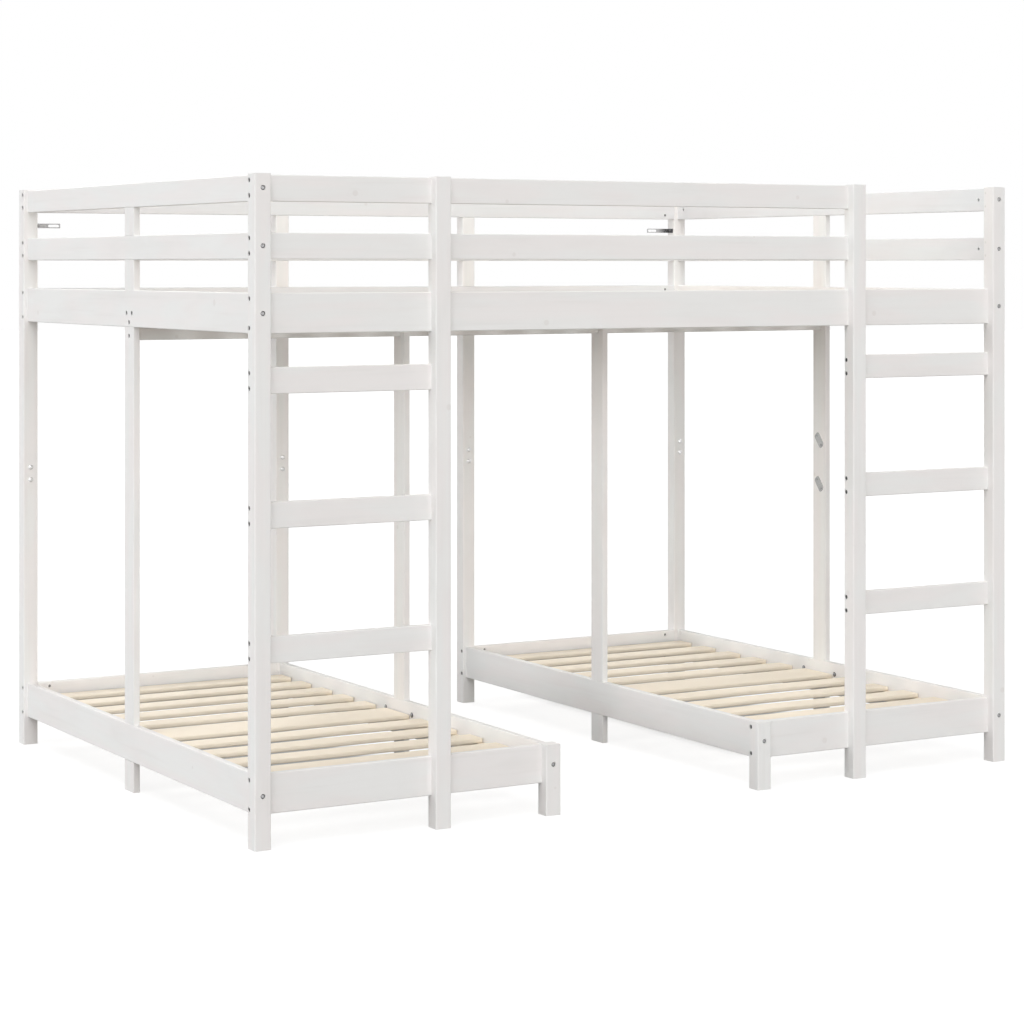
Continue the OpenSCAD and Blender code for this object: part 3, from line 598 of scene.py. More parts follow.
def plated_metal(name, colour, low, high, other):
    """Metal with a slightly uneven plating: its tone drifts, and its roughness from low to high.

    Where other is given, points whose "tone_and_painted_light" number is 1 have that colour
    instead; that is a painted highlight on some bolts and a painted shade on the right wall
    bracket.
    """
    material, graph, shader = finish_material(name, Metallic=1.0)
    place = graph.add("ShaderNodeTexCoord").outputs["Object"]
    drift = graph.noise(graph.vector("MULTIPLY", place, (240.0,) * 3), 3.0, 0.6)
    specks = graph.noise(graph.vector("MULTIPLY", place, (2600.0,) * 3), 2.0, 0.5)
    tone = graph.blend(drift, (*colour, 1), (*(0.78 * c for c in colour), 1))
    if other:
        tone_and_painted_light = graph.add("ShaderNodeAttribute", attribute_name="tone_and_painted_light").outputs["Fac"]
        tone = graph.blend(tone_and_painted_light, tone, (*other, 1))
    rough = graph.ramp(drift, 0.3, 0.7, low, high)
    bump = graph.add("ShaderNodeBump", {"Height": specks, "Distance": 0.00003, "Strength": 0.5})
    join(graph, shader, tone, rough, bump.outputs[0])
    return material


def moulded_plastic(name, colour):
    """Matt moulded plastic with the fine grain of its mould."""
    material, graph, shader = finish_material(name, Specular_IOR_Level=0.4)
    place = graph.add("ShaderNodeTexCoord").outputs["Object"]
    drift = graph.noise(graph.vector("MULTIPLY", place, (300.0,) * 3), 2.0, 0.5)
    mould = graph.noise(graph.vector("MULTIPLY", place, (3000.0,) * 3), 2.0, 0.5)
    shade = tuple(0.93 * c for c in colour)
    tone = graph.blend(drift, (*colour, 1), (*shade, 1))
    rough = graph.ramp(drift, 0.2, 0.8, 0.38, 0.5)
    bump = graph.add("ShaderNodeBump", {"Height": mould, "Distance": 0.00004, "Strength": 0.5})
    join(graph, shader, tone, rough, bump.outputs[0])
    return material


def shared(name, make):
    """The material of that name, made the first time it is asked for."""
    return bpy.data.materials.get(name) or make()


def metal_of(name, colour, low, high, other=None):
    """The plated metal of that name, shared by all the pieces made of it."""
    other = other and tuple(other)
    return shared(name, lambda: plated_metal(name, tuple(colour), low, high, other))


def pine_of(settings):
    """The bare pine, shared by the slats, ledgers and dowels."""
    return shared("bare_pine", lambda: bare_pine(settings))


# Pieces


def boards_of(node, edge, ease, rng):
    """Eased boards in the boxes of a node's solids, and each point's place in its own board.

    The place is measured along, across and through the board, and moved by a step of its own
    for each board, so that no two boards show the same grain. A point's tone is 1 on a sawn
    end, and a little on a board of double width, which is browner than the others.
    """
    shapes, grains, tones = [], [], []
    for points in solids_of(node):
        low, high = points.min(0), points.max(0)
        order = np.argsort(low - high)
        length, width, height = (high - low)[order]
        shape, faces = eased_board(length, width, height, edge, ease)
        placed = np.empty_like(shape)
        placed[:, order] = shape
        shapes.append((placed + (low + high) / 2, faces))
        grains.append(shape + rng.uniform(-40, 40, 3))
        tone = np.full(len(shape), 0.13 if width > WIDE_BOARD else 0.0)
        tone[: len(shape) // 4] = tone[-(len(shape) // 4):] = 1
        tones.append(tone)
    return shapes, grains, tones


class BUNK_OT_painted_boards(bpy.types.Operator):
    """Gives every post, rail, guard, rung and plank its whitewashed finish"""

    bl_idname = "bunk.painted_boards"
    bl_label = "Painted Posts and Boards"

    def execute(self, context):
        wood = context.scene.bunk_wood
        plain, greyer = (1, 1, 1), tuple(wood.painted_shade_tint)
        for name, order, shade_tint, nodes in (
            ("whitewash_standing", "ZXY", plain, STANDING),
            ("whitewash_across", "XYZ", plain, ACROSS),
            ("whitewash_lengthwise", "YXZ", plain, LENGTHWISE),
            # These two carry a painted shade: their whitewash is greyed to stand in for shade
            ("whitewash_painted_shade_across", "XYZ", greyer, PAINTED_SHADE_ACROSS),
            ("whitewash_painted_shade_lengthwise", "YXZ", greyer, PAINTED_SHADE_LENGTHWISE),
        ):
            material = painted_pine(name, ["XYZ".index(axis) for axis in order], wood, shade_tint)
            for node in nodes:
                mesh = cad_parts[node].data
                mesh.materials.clear()
                mesh.materials.append(material)
        return {"FINISHED"}


class BUNK_OT_slats(bpy.types.Operator):
    """Adds the slats of both lower beds and of the deck"""

    bl_idname = "bunk.slats"
    bl_label = "Slats"

    def execute(self, context):
        boards = context.scene.bunk_boards
        pine = pine_of(context.scene.bunk_wood)
        for seed, node in enumerate(("left_bed_slats", "right_bed_slats", "deck_slats")):
            rng = np.random.default_rng(seed)
            shapes, grains, tones = boards_of(node, boards.slat_edge, boards.end_ease, rng)
            make_piece(node + "_eased", together(shapes), pine, [node],
                       grain=np.concatenate(grains), tone_and_painted_light=np.concatenate(tones))
        return {"FINISHED"}


class BUNK_OT_ledgers(bpy.types.Operator):
    """Adds the ledgers that the slats lie on"""

    bl_idname = "bunk.ledgers"
    bl_label = "Ledgers"

    def execute(self, context):
        boards = context.scene.bunk_boards
        pine = pine_of(context.scene.bunk_wood)
        for seed, node in enumerate(("bed_ledgers", "deck_ledgers")):
            rng = np.random.default_rng(10 + seed)
            shapes, grains, tones = boards_of(node, boards.ledger_edge, boards.end_ease, rng)
            make_piece(node + "_eased", together(shapes), pine, [node],
                       grain=np.concatenate(grains), tone_and_painted_light=np.concatenate(tones))
        return {"FINISHED"}


class BUNK_OT_dowels(bpy.types.Operator):
    """Adds the fluted dowels between the planks and the rails"""

    bl_idname = "bunk.dowels"
    bl_label = "Dowels"

    def execute(self, context):
        boards = context.scene.bunk_boards
        sites = sites_of("dowels")
        length, radius = sites[0][2], sites[0][3]
        point = radius * 0.25
        angle = np.linspace(0, 2 * np.pi, 36, endpoint=False)
        fluted = 1 - boards.flute_depth / radius * (0.5 - 0.5 * np.cos(12 * angle))
        profile = [(0, 0), (0, radius - point), (point, radius), (length - point, radius),
                   (length, radius - point), (length, 0)]
        shape = turned(profile, fluted)
        rng = np.random.default_rng(20)
        points, quads = put_at(sites, shape, rng.uniform(0, 6, len(sites)))
        grain = np.concatenate([shape[0] + rng.uniform(-40, 40, 3) for _ in sites])
        make_piece("dowels_fluted", (points, quads), pine_of(context.scene.bunk_wood),
                   ["dowels"], grain=grain)
        return {"FINISHED"}


def bolt_shape(length, radius, shank, domed, fittings):
    """A socket bolt from its head's top at x = 0 to its tip, as a turned shape.

    Its rows run from the socket's floor up its hexagon walls, over the head, round its rim,
    under it and along the shank. Rows of the socket are hexagons and the others circles. A
    domed head's top is part of a circle.
    """
    socket = fittings.socket / 2 / math.cos(math.pi / 6)
    bevel = fittings.head_bevel
    cut = bevel * 0.35
    floor = fittings.socket_depth
    if domed:
        t = np.linspace(0.45, 1.0, 6)
        over = np.stack([BOLT_DOME * t ** 2, radius * t], -1).tolist()
        over[0][0] = over[0][0] * 0.6
    else:
        over = [(0, radius * 0.5), (0, radius - bevel), (cut, radius - cut), (bevel, radius)]
    top = over[0][0]
    six = [(floor + socket * 0.3, 0), (floor, socket * 0.98), (top + 0.0002, socket)]
    rim = [(top, socket * 1.08)]
    rest = [(BOLT_HEAD - 0.0003, radius), (BOLT_HEAD, radius - 0.0003), (BOLT_HEAD, shank),
            (length - 0.0008, shank), (length, shank * 0.75), (length, 0)]
    profile = six + rim + over + rest
    around = np.ones((len(profile), 24))
    around[: len(six)] = hexagon(24)
    return turned(profile, around)


class BUNK_OT_bolts(bpy.types.Operator):
    """Adds the socket bolts: flat heads in their counterbores, domed ones on the wood"""

    # A bolt's "tone_and_painted_light" number is its share of the brighter zinc: all of it on the
    # bolts through the half laps, whose own zinc it is, and some on the faces of the stop bolts and
    # of the bolts at the front, where it is a painted highlight

    bl_idname = "bunk.bolts"
    bl_label = "Bolts"

    def execute(self, context):
        fittings = context.scene.bunk_fittings
        steel = metal_of("bolt_steel", fittings.bolt_steel, 0.25, 0.45, fittings.lap_bolt)
        sites = sites_of("bolts")
        wide = max(s[3] for s in sites) - DOMED_WITHIN
        rng = np.random.default_rng(30)
        shapes, zinc_and_highlight = [], []
        for length in sorted({round(float(s[2]), 4) for s in sites}):
            same = [s for s in sites if round(float(s[2]), 4) == length]
            radius = float(same[0][3])
            domed = radius > wide
            shape = bolt_shape(length, radius, BOLT_SHANK, domed, fittings)
            shapes.append(put_at(same, shape, rng.uniform(0, 6, len(same))))
            through_lap = domed and length > LONG_BOLT
            reach = np.hypot(shape[0][:, 1], shape[0][:, 2])
            # The middle of the head, or all of it on a lap bolt, takes the brighter zinc
            crown = reach < (1.1 if through_lap else 0.7) * radius
            for _, into, _, _ in same:
                share = 1.0 if through_lap else STOP_BOLT_HIGHLIGHT * domed
                # A painted highlight on the heads of the sunk bolts that face the front
                if into[1] > 0.5 and not domed:
                    share = FRONT_BOLT_HIGHLIGHT
                zinc_and_highlight.append(crown * share)
        make_piece("bolts_socket", together(shapes), steel, ["bolts"],
                   tone_and_painted_light=np.concatenate(zinc_and_highlight))
        return {"FINISHED"}


def slotted_disc(length, radius, slot):
    """A barrel along x with a screwdriver slot across either end.

    Rows are chords of the circle at heights z, half as long as the root of radius squared
    less z squared. The two rows at each side of a slot share a height: one lies on the end
    and one on the slot's floor.
    """
    ease, deep = radius * 0.1, radius * 0.3
    rise = radius * np.sin(np.linspace(np.arcsin(slot / 2 / radius), np.pi / 2, 8))
    z = np.concatenate([-rise[::-1], [-slot / 2, slot / 2], rise])
    sunk = np.concatenate([np.zeros(8), [deep, deep], np.zeros(8)])
    half = np.sqrt(np.maximum(radius ** 2 - z ** 2, 0))
    small = 1 - ease / radius
    rows = []
    for x, share in ((sunk, small), (np.maximum(sunk, ease), 1.0),
                     (length - np.maximum(sunk, ease), 1.0), (length - sunk, small)):
        rows.append(np.stack([x, -half * share, z * share], -1))
        rows.append(np.stack([x, half * share, z * share], -1))
    points = np.stack(rows[::2] + rows[::-2])
    ring, count = points.shape[:2]
    quads = []
    for i in range(ring):
        a, b = i * count, (i + 1) % ring * count
        quads += [(a + k, b + k, b + k + 1, a + k + 1) for k in range(count - 1)]
    return points.reshape(-1, 3), quads


def flat_nut(length, radius, bore):
    """A flat round nut: a bevelled ring about its threaded bore."""
    bevel = length * 0.15
    profile = [(0, bore * 1.1), (0, radius - bevel), (bevel, radius), (length - bevel, radius),
               (length, radius - bevel), (length, bore * 1.1), (length - bevel, bore),
               (bevel, bore), (0, bore * 1.1)]
    return turned(profile, np.ones(32))


class BUNK_OT_nuts(bpy.types.Operator):
    """Adds the slotted barrel nuts in the boards and the flat nuts behind the half laps"""

    bl_idname = "bunk.nuts"
    bl_label = "Nuts"

    def execute(self, context):
        fittings = context.scene.bunk_fittings
        sites = sites_of("nuts")
        rng = np.random.default_rng(40)
        barrels = [s for s in sites if s[2] > s[3]]
        flats = [s for s in sites if s[2] <= s[3]]
        if not barrels or not flats:
            raise RuntimeError("the frame's nuts are not both barrel and flat nuts")
        barrel = slotted_disc(float(barrels[0][2]), float(barrels[0][3]), fittings.nut_slot)
        flat = flat_nut(float(flats[0][2]), float(flats[0][3]), NUT_BORE)
        shapes = [put_at(barrels, barrel, rng.normal(0, 0.25, len(barrels))),
                  put_at(flats, flat, np.zeros(len(flats)))]
        zinc = metal_of("zinc_plate", fittings.zinc, 0.22, 0.42)
        make_piece("nuts_slotted", together(shapes), zinc, ["nuts"])
        return {"FINISHED"}


def screw_head_rows(radius, recess):
    """Rows of a screw's top with its cross recess: (x, radius) points and the sunk depth at each.

    The recess is deepest at the middle and shallows out along its arms. A point is in it if
    it lies within half an arm's width of either diagonal of the cross.
    """
    r = radius * np.array([0.0, 0.08, 0.16, 0.24, 0.34, 0.44, 0.55, 0.62, 0.8, 0.94])
    angle = np.linspace(0, 2 * np.pi, 32, endpoint=False)
    y, z = r[:, None] * np.cos(angle), r[:, None] * np.sin(angle)
    near, far = np.minimum(abs(y), abs(z)), np.maximum(abs(y), abs(z))
    arm = recess * 0.13
    beside = np.clip((arm - near) / (arm * 0.35), 0, 1)
    before = np.clip((recess / 2 - far) / (recess * 0.08), 0, 1)
    return r, beside * before * radius * 0.42 * (1.05 - far / recess)


def screw_shape(length, radius, shank, recess, pan):
    """A screw from its head at x = 0 to its tip; a pan head is a flat dome, another a cone."""
    r, sunk = screw_head_rows(radius, recess)
    crown = 0.25 * radius if pan else 0.0
    crown_x = crown * (r / radius) ** 2
    if pan:
        rest = [(crown + radius * 0.1, radius), (radius * 0.6, radius), (radius * 0.62, shank)]
    else:
        rest = [(0.0001, radius), (radius - shank, shank)]
    point = min(0.006, (length - rest[-1][0]) * 0.4)
    rest += [(length - point, shank), (length, 0)]
    x = np.concatenate([crown_x, [p[0] for p in rest]])[:, None] + np.zeros(32)
    x[: len(r)] += sunk
    radii = np.concatenate([r, [p[1] for p in rest]])[:, None]
    angle = np.linspace(0, 2 * np.pi, 32, endpoint=False)
    points = np.stack([x, radii * np.cos(angle), radii * np.sin(angle)], -1)
    return points.reshape(-1, 3), grid_quads(*x.shape)


def near_strap(site):
    """Whether a screw belongs to a wall strap."""
    low, high = (np.array(corner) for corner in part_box("wall_straps"))
    x, y, z = site[0]
    beside = abs(x) > high[0] - 0.12 and low[1] - 0.01 < y < high[1] + 0.01
    return bool(beside and low[2] < z < high[2])


class BUNK_OT_screws(bpy.types.Operator):
    """Adds the cross-head screws of the crossings, the planks' laps and the wall straps"""

    bl_idname = "bunk.screws"
    bl_label = "Screws"

    def execute(self, context):
        fittings = context.scene.bunk_fittings
        sites = sites_of("screws")
        rng = np.random.default_rng(50)
        shapes = []
        for key in sorted({(round(float(s[2]), 4), near_strap(s)) for s in sites}):
            same = [s for s in sites if (round(float(s[2]), 4), near_strap(s)) == key]
            shape = screw_shape(key[0], float(same[0][3]), SCREW_SHANK, fittings.recess, key[1])
            shapes.append(put_at(same, shape, rng.uniform(0, 6, len(same))))
        steel = metal_of("dark_steel", fittings.dark_steel, 0.3, 0.5)
        make_piece("screws_cross_head", together(shapes), steel, ["screws"])
        return {"FINISHED"}


def oval_half(reach, radius, hole, thick, bevel):
    """Half of an oval plate about its screw's hole, on x = 0, cut at y = reach.

    The outline is a flattened half circle about the hole that runs on straight up to the cut.
    The hole's circle and the outline have a point for each of the same angles, and the rows
    go up the hole, over the top and its bevel, down the side and back under the plate. No
    face lies on the cut itself, where the two halves meet.
    """
    corner = np.arctan2(radius, reach)
    angle = np.concatenate([
        np.linspace(-corner, corner, 6), np.linspace(corner, 2 * np.pi - corner, 32)[1:-1]])
    ahead = abs(angle) <= corner + 1e-9
    along = np.cos(angle)
    across = np.sin(angle)
    far = np.where(ahead, reach / along, radius / np.maximum(abs(across), 1e-9))
    far = np.where(along < 0, radius, far)
    outline = np.stack([far * along, far * across], -1)
    outline[along < 0, 0] *= PLATE_END
    small = outline * [1, 1 - bevel / radius]
    small[~ahead & (along < 0)] *= [1 - bevel / radius, 1]
    ring = np.stack([hole * along, hole * across], -1)
    rows = [(0, ring), (thick, ring), (thick, small), (thick - bevel, outline), (0, outline),
            (0, ring)]
    points = np.concatenate([np.column_stack([np.full(len(angle), x), flat]) for x, flat in rows])
    quads = grid_quads(len(rows), len(angle))
    on_cut = abs(points[:, 1] - reach) < 1e-9
    return points, quads[~on_cut[quads].all(1)]


class BUNK_OT_lap_plates(bpy.types.Operator):
    """Adds the slanting oval plates under the screw pairs of the planks' half laps"""

    bl_idname = "bunk.lap_plates"
    bl_label = "Lap Plates"

    def execute(self, context):
        fittings = context.scene.bunk_fittings
        screws = [s for s in sites_of("screws") if s[2] < SHORT_SCREW and abs(s[1][0]) == 1]
        if len(screws) % 2 or not screws:
            raise RuntimeError("the frame's half laps don't have their screws in pairs")
        screws.sort(key=lambda s: (round(float(s[0][0]), 3), float(s[0][2])))
        shapes = []
        for pair in zip(screws[::2], screws[1::2]):
            for one, other in (pair, pair[::-1]):
                to = other[0] - one[0]
                reach = float(np.linalg.norm(to)) / 2
                along = to / (2 * reach)
                out = -one[1]
                points, quads = oval_half(
                    reach, fittings.plate_width / 2, float(one[3]), fittings.plate_thick,
                    fittings.plate_thick * 0.4)
                place = one[0] * [0, 1, 1] + [float(one[0][0]) + 0.0003 * out[0], 0, 0]
                turn = np.stack([out, along, np.cross(out, along)])
                shapes.append((place + points @ turn, quads))
        steel = metal_of("plate_steel", fittings.plate, 0.4, 0.6)
        make_piece("lap_plates", together(shapes), steel, [])
        return {"FINISHED"}


class BUNK_OT_caps(bpy.types.Operator):
    """Adds the plastic caps over the corner post's unused bolt holes"""

    bl_idname = "bunk.caps"
    bl_label = "Caps"

    def execute(self, context):
        fittings = context.scene.bunk_fittings
        cap = shared("cap_plastic", lambda: moulded_plastic("cap_plastic", tuple(fittings.cap)))
        shapes = []
        for site in sites_of("plugs"):
            length, radius = float(site[2]), float(site[3])
            thick = CAP_THICK if radius > SMALL_CAP else THIN_CAP
            dome = thick * 0.45
            t = np.linspace(0, 1, 7)
            profile = [(dome * v ** 2, radius * v) for v in t]
            profile += [(thick, radius), (thick, 0.003), (length, 0.0029), (length, 0)]
            shapes.append(put_at([site], turned(profile, np.ones(32)), [0.0]))
        make_piece("caps_domed", together(shapes), cap, ["plugs"])
        return {"FINISHED"}


def bent_strip(foot, arm, width, thick, bend):
    """An angled strip as a flat profile carried round a bend, with a round end on its arm.

    The path runs down the foot, round a quarter circle and out along the arm. Its profile is
    the strip's width by its thickness, and over the last half width of the arm its half
    width is the root of a circle's radius squared less the way past its centre squared.
    """
    turn = np.linspace(0, np.pi / 2, 9)
    outer = bend + thick
    foot_path = np.array([[0.0, foot], [0.0, outer]])
    bow = np.stack([outer - outer * np.cos(turn), outer - outer * np.sin(turn)], -1)
    end = width / 2 * np.sin(np.linspace(0, np.pi / 2, 12))
    arm_x = np.concatenate([[outer], arm - width / 2 + end])
    outside = np.concatenate([foot_path, bow[1:], np.stack([arm_x[1:], np.zeros(12)], -1)])
    inward = np.concatenate([
        np.tile([1.0, 0.0], (2, 1)), np.stack([np.cos(turn), np.sin(turn)], -1)[1:],
        np.tile([0.0, 1.0], (12, 1))])
    half = np.full(len(outside), width / 2)
    past = outside[-12:, 0] - (arm - width / 2)
    half[-12:] = np.sqrt(np.maximum((width / 2) ** 2 - past ** 2, 0))
    inside = outside + inward * thick
    ring = np.stack([
        np.column_stack([outside, half]), np.column_stack([inside, half]),
        np.column_stack([inside, -half]), np.column_stack([outside, -half])], 1)
    count = len(outside)
    faces = [tuple(q) for q in grid_quads(count, 4).tolist()]
    faces.append((0, 1, 2, 3))
    return ring.reshape(-1, 3), faces


def slotted_strip(length, width, thick, slot_from, slot_to, slot_width, corner):
    """A flat strip with a long slot, lying on y = 0, as two halves either side of z = 0.

    At each x the strip reaches from the slot's edge, or the middle line beside the slot, to
    its own outline. Both are circle arcs near their ends and straight between them.
    """
    r = slot_width / 2
    step = np.linspace(0, np.pi / 2, 8)
    x = np.unique(np.round(np.concatenate([
        corner * (1 - np.cos(step)), slot_from + r * (1 - np.cos(step)),
        slot_to - r * (1 - np.cos(step)), length - corner * (1 - np.cos(step))]), 7))
    edge = np.minimum(x, length - x)
    rounding = np.maximum(corner ** 2 - np.maximum(corner - edge, 0) ** 2, 0)
    outline = width / 2 - corner + np.sqrt(rounding)
    near = np.maximum(np.minimum(x - slot_from, slot_to - x), 0)
    inner = np.sqrt(np.maximum(r ** 2 - np.maximum(r - near, 0) ** 2, 0)) * (near > 0)
    points, faces = [], []
    n = len(x)
    for side in (1, -1):
        base = len(points) * n
        for y in (0.0, thick):
            points.append(np.column_stack([x, np.full(n, y), side * inner]))
            points.append(np.column_stack([x, np.full(n, y), side * outline]))
        for k in range(n - 1):
            a, b, c, d = (base + k + j * n for j in range(4))
            faces += [(a, a + 1, b + 1, b), (c, c + 1, d + 1, d), (b, b + 1, d + 1, d)]
            if inner[k] > 0 or inner[k + 1] > 0:
                faces.append((a, a + 1, c + 1, c))
        for k in (0, n - 1):
            faces.append(tuple(base + k + j * n for j in (0, 1, 3, 2)))
    return np.concatenate(points), faces


class BUNK_OT_wall_straps(bpy.types.Operator):
    """Adds the angled wall straps with their slotted arms"""

    bl_idname = "bunk.wall_straps"
    bl_label = "Wall Straps"

    def execute(self, context):
        fittings = context.scene.bunk_fittings
        steel = metal_of("strap_zinc", fittings.zinc, 0.22, 0.42, fittings.dark_steel)
        shapes, painted_shade = [], []
        for points in solids_of("wall_straps"):
            low, high = points.min(0), points.max(0)
            size = high - low
            left = low[0] < 0
            bracket = size[1] > 0.01
            if bracket:
                shape, faces = bent_strip(
                    size[1], size[0], size[2], STRAP_THICK, fittings.strap_bend)
            else:
                first, last, slot_width = STRAP_SLOT
                shape, faces = slotted_strip(
                    size[0], size[2], size[1], size[0] - first, size[0] - last, slot_width,
                    STRAP_CORNER)
            placed = shape * [1 if left else -1, -1, 1]
            placed += [low[0] if left else high[0], high[1], (low[2] + high[2]) / 2]
            shapes.append((placed, faces))
            # The right-hand bracket is coloured all over with the dark steel as a painted shade,
            # and the rest is zinc plated
            painted_shade.append(np.full(len(placed), float(bracket and not left)))
        piece = make_piece("wall_straps_bent", together(shapes), steel, ["wall_straps"],
                           tone_and_painted_light=np.concatenate(painted_shade))
        bevel = piece.modifiers.new("edges", "BEVEL")
        bevel.width, bevel.segments, bevel.limit_method = 0.0002, 2, "ANGLE"
        return {"FINISHED"}


class BUNK_OT_stage(bpy.types.Operator):
    """Sets up the floor, the soft studio light and the camera"""

    bl_idname = "bunk.stage"
    bl_label = "Stage"

    # Soft lamps: degrees from the front towards the left, degrees above the floor, width
    # in degrees, strength, colour
    warm_white, white, cool_white = (1.0, 0.983, 0.965), (1.0, 1.0, 1.0), (0.993, 1.0, 1.0)
    lamp_plan = (
        ("lamp_front_low", 0, 8, 20, 0.66, warm_white),
        ("lamp_front_broad", 0, 15, 80, 0.184, warm_white),
        ("lamp_front_left", 20, 15, 40, 0.53, warm_white),
        ("lamp_left_mid", 45, 8, 20, 0.14, white),
        ("lamp_front_left_high", 45, 60, 36, 1.174, white),
        ("lamp_left_low", 90, 8, 20, 0.64, cool_white),
        ("lamp_left_broad", 60, 15, 60, 0.612, white),
        ("lamp_front_right_low", -45, 8, 20, 0.342, warm_white),
        ("lamp_back_left_low", 135, 8, 20, 0.733, cool_white),
        ("lamp_back", 180, 30, 36, 1.645, warm_white),
        ("lamp_right", -90, 30, 36, 0.906, white),
    )
    # Where the painted shadow under a lower bed fades in from its slats' low end and out at their
    # high end, in metres from those ends: along x, then along y
    shade_fades = (((0.20, 0.38), (-0.10, 0.05)), ((0.40, 0.58), (-0.05, 0.20)))

    def execute(self, context):
        scene, stage = context.scene, context.scene.bunk_stage
        self.add_floor(scene, stage)
        self.add_sky(scene, stage)
        for name, turn, rise, spread, strength, colour in self.lamp_plan:
            self.add_lamp(scene, name, turn, rise, spread, strength * stage.lamps, colour)
        camera = bpy.data.cameras.new("camera")
        camera.lens, camera.sensor_width = stage.lens, 36
        camera.shift_x, camera.shift_y = stage.lens_shift
        camera.clip_end = 200
        holder = bpy.data.objects.new("camera", camera)
        holder.location = stage.camera_place
        holder.rotation_euler = (math.pi / 2, 0, -stage.camera_turn)
        scene.collection.objects.link(holder)
        scene.camera = holder
        scene.view_settings.view_transform = "Standard"
        return {"FINISHED"}

    def add_lamp(self, scene, name, turn, rise, spread, strength, colour):
        """A far lamp whose light comes from one direction, softened over its width."""
        lamp = bpy.data.lights.new(name, "SUN")
        lamp.energy, lamp.angle, lamp.color = strength, math.radians(spread), colour
        holder = bpy.data.objects.new(name, lamp)
        turn, rise = math.radians(turn), math.radians(rise)
        level = math.cos(rise)
        toward = (-math.sin(turn) * level, -math.cos(turn) * level, math.sin(rise))
        holder.rotation_euler = Vector(toward).to_track_quat("Z", "Y").to_euler()
        scene.collection.objects.link(holder)

    def add_floor(self, scene, stage):
        """A wide disc under the bed, seen as white where nothing shades it, with a painted shadow
        under the lower beds where part of its glow is left out.
        """
        angle = np.linspace(0, 2 * np.pi, 96, endpoint=False)
        rim = np.stack([
            FLOOR_REACH * np.cos(angle), FLOOR_REACH * np.sin(angle), np.full(96, -FLOOR_DROP)], -1)
        mesh = bpy.data.meshes.new("floor")
        mesh.from_pydata(rim.tolist(), [], [tuple(range(96))])
        floor = bpy.data.objects.new("floor", mesh)
        scene.collection.objects.link(floor)
        material, graph, shader = finish_material("floor", Roughness=0.9, Specular_IOR_Level=0.0)
        place = graph.add("ShaderNodeTexCoord").outputs["Object"]
        drift = graph.noise(graph.vector("MULTIPLY", place, (0.7,) * 3), 2.0, 0.5)
        darker = tuple(0.985 * c for c in stage.floor)
        colour = graph.blend(drift, (*stage.floor, 1), (*darker, 1))
        graph.tree.links.new(colour, shader.inputs["Base Color"])
        shader.inputs["Emission Color"].default_value = (1, 1, 1, 1)
        split = graph.add("ShaderNodeSeparateXYZ", {"Vector": place})
        shades = [self.shaded(graph, split, node) for node in ("left_bed_slats", "right_bed_slats")]
        # Painted shadow: part of the glow is left out under the lower beds
        shade = graph.sum("MULTIPLY", graph.sum("MAXIMUM", *shades), stage.floor_shade)
        glow = graph.sum("MULTIPLY", graph.sum("SUBTRACT", 1.0, shade), stage.floor_glow)
        strength = graph.sum("MULTIPLY", self.seen(graph), glow)
        graph.tree.links.new(strength, shader.inputs["Emission Strength"])
        mesh.materials.append(material)

    def shaded(self, graph, place, node):
        """Painted shadow: 1 on the floor that shows between a bed's slats, fading to 0 round it."""
        low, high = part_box(node)
        sides = []
        for axis, (rise, fall) in enumerate(self.shade_fades):
            at = place.outputs[axis]
            fade_in = graph.ramp(at, low[axis] + rise[0], low[axis] + rise[1])
            fade_out = graph.ramp(at, high[axis] + fall[0], high[axis] + fall[1], 1.0, 0.0)
            sides.append(graph.sum("MULTIPLY", fade_in, fade_out))
        return graph.sum("MULTIPLY", *sides)

    def add_sky(self, scene, stage):
        """White to the eye and in reflections, and the soft light's own strength to the bed."""
        world = bpy.data.worlds.new("studio")
        world.use_nodes = True
        graph = Graph(world.node_tree)
        strength = graph.sum(
            "MULTIPLY_ADD", self.seen(graph), 1 - stage.sky, stage.sky)
        sky = graph.add("ShaderNodeBackground", {"Color": (1, 1, 1, 1), "Strength": strength})
        graph.add("ShaderNodeOutputWorld", {"Surface": sky.outputs[0]})
        scene.world = world

    def seen(self, graph):
        """1 for a ray from the camera or from a reflection or refraction, else 0."""
        path = graph.add("ShaderNodeLightPath").outputs
        both = graph.sum("MAXIMUM", path["Is Camera Ray"], path["Is Glossy Ray"])
        return graph.sum("MAXIMUM", both, path["Is Transmission Ray"])


OPERATORS = (
    BUNK_OT_painted_boards, BUNK_OT_slats, BUNK_OT_ledgers, BUNK_OT_dowels, BUNK_OT_bolts,
    BUNK_OT_nuts, BUNK_OT_screws, BUNK_OT_lap_plates, BUNK_OT_caps, BUNK_OT_wall_straps,
    BUNK_OT_stage,
)
SETTINGS = {
    "bunk_wood": BunkWoodSettings,
    "bunk_boards": BunkBoardSettings,
    "bunk_fittings": BunkFittingSettings,
    "bunk_stage": BunkStageSettings,
}


class BUNK_PT_pieces(bpy.types.Panel):
    """Lists the bed's pieces and the settings they are made from"""

    bl_idname = "BUNK_PT_pieces"
    bl_label = "Bunk Bed"
    bl_space_type = "VIEW_3D"
    bl_region_type = "UI"
    bl_category = "Bunk Bed"

    def draw(self, context):
        for operator in OPERATORS:
            self.layout.operator(operator.bl_idname)
        for name, group in SETTINGS.items():
            box = self.layout.box()
            box.label(text=group.__doc__.rstrip("."))
            for key in group.__annotations__:
                box.prop(getattr(context.scene, name), key)


def register():
    for group in SETTINGS.values():
        bpy.utils.register_class(group)
    for name, group in SETTINGS.items():
        setattr(bpy.types.Scene, name, PointerProperty(type=group))
    for operator in OPERATORS:
        bpy.utils.register_class(operator)
    bpy.utils.register_class(BUNK_PT_pieces)


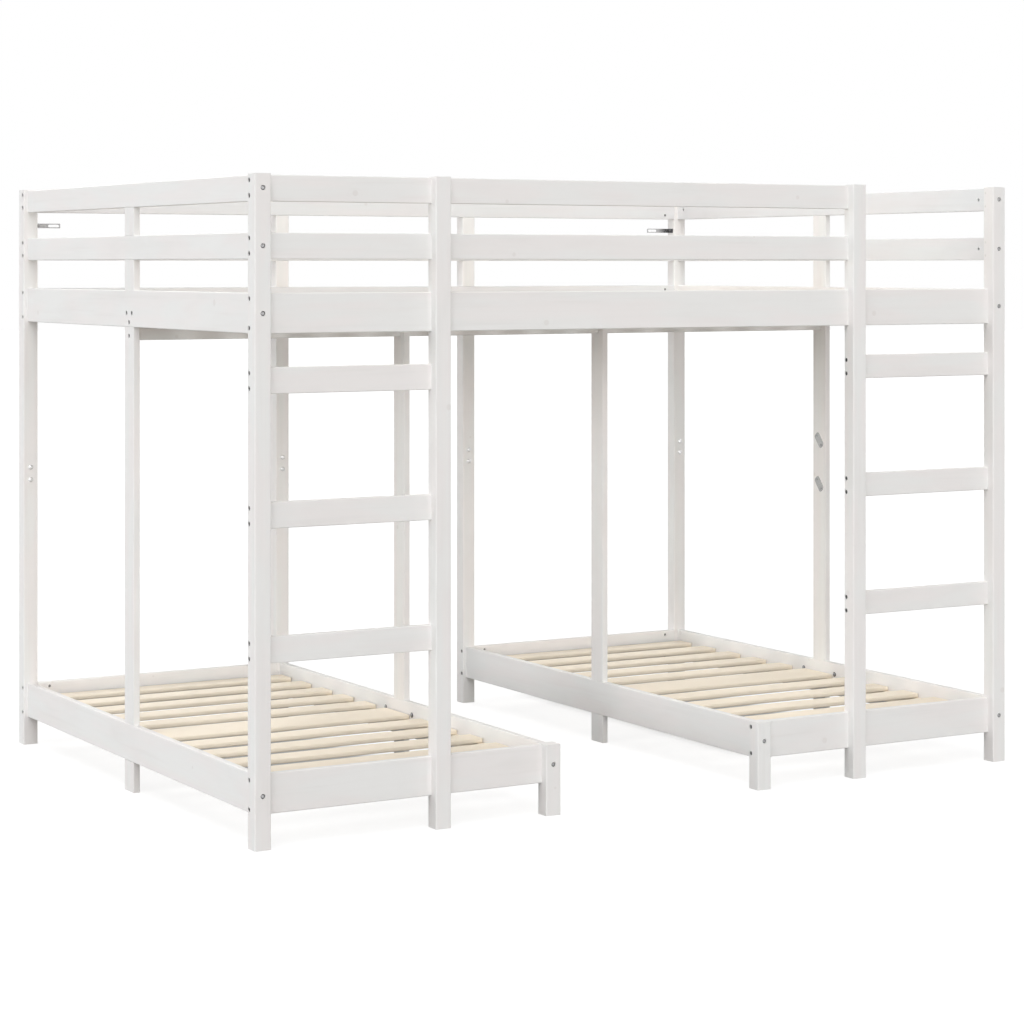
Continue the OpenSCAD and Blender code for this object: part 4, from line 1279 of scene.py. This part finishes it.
def unregister():
    bpy.utils.unregister_class(BUNK_PT_pieces)
    for operator in reversed(OPERATORS):
        bpy.utils.unregister_class(operator)
    for name, group in SETTINGS.items():
        delattr(bpy.types.Scene, name)
        bpy.utils.unregister_class(group)


def main():
    """Makes every piece and the stage."""
    register()
    bpy.ops.bunk.painted_boards()
    bpy.ops.bunk.slats()
    bpy.ops.bunk.ledgers()
    bpy.ops.bunk.dowels()
    bpy.ops.bunk.bolts()
    bpy.ops.bunk.nuts()
    bpy.ops.bunk.screws()
    bpy.ops.bunk.lap_plates()
    bpy.ops.bunk.caps()
    bpy.ops.bunk.wall_straps()
    bpy.ops.bunk.stage()


if __name__ == "__main__":
    main()
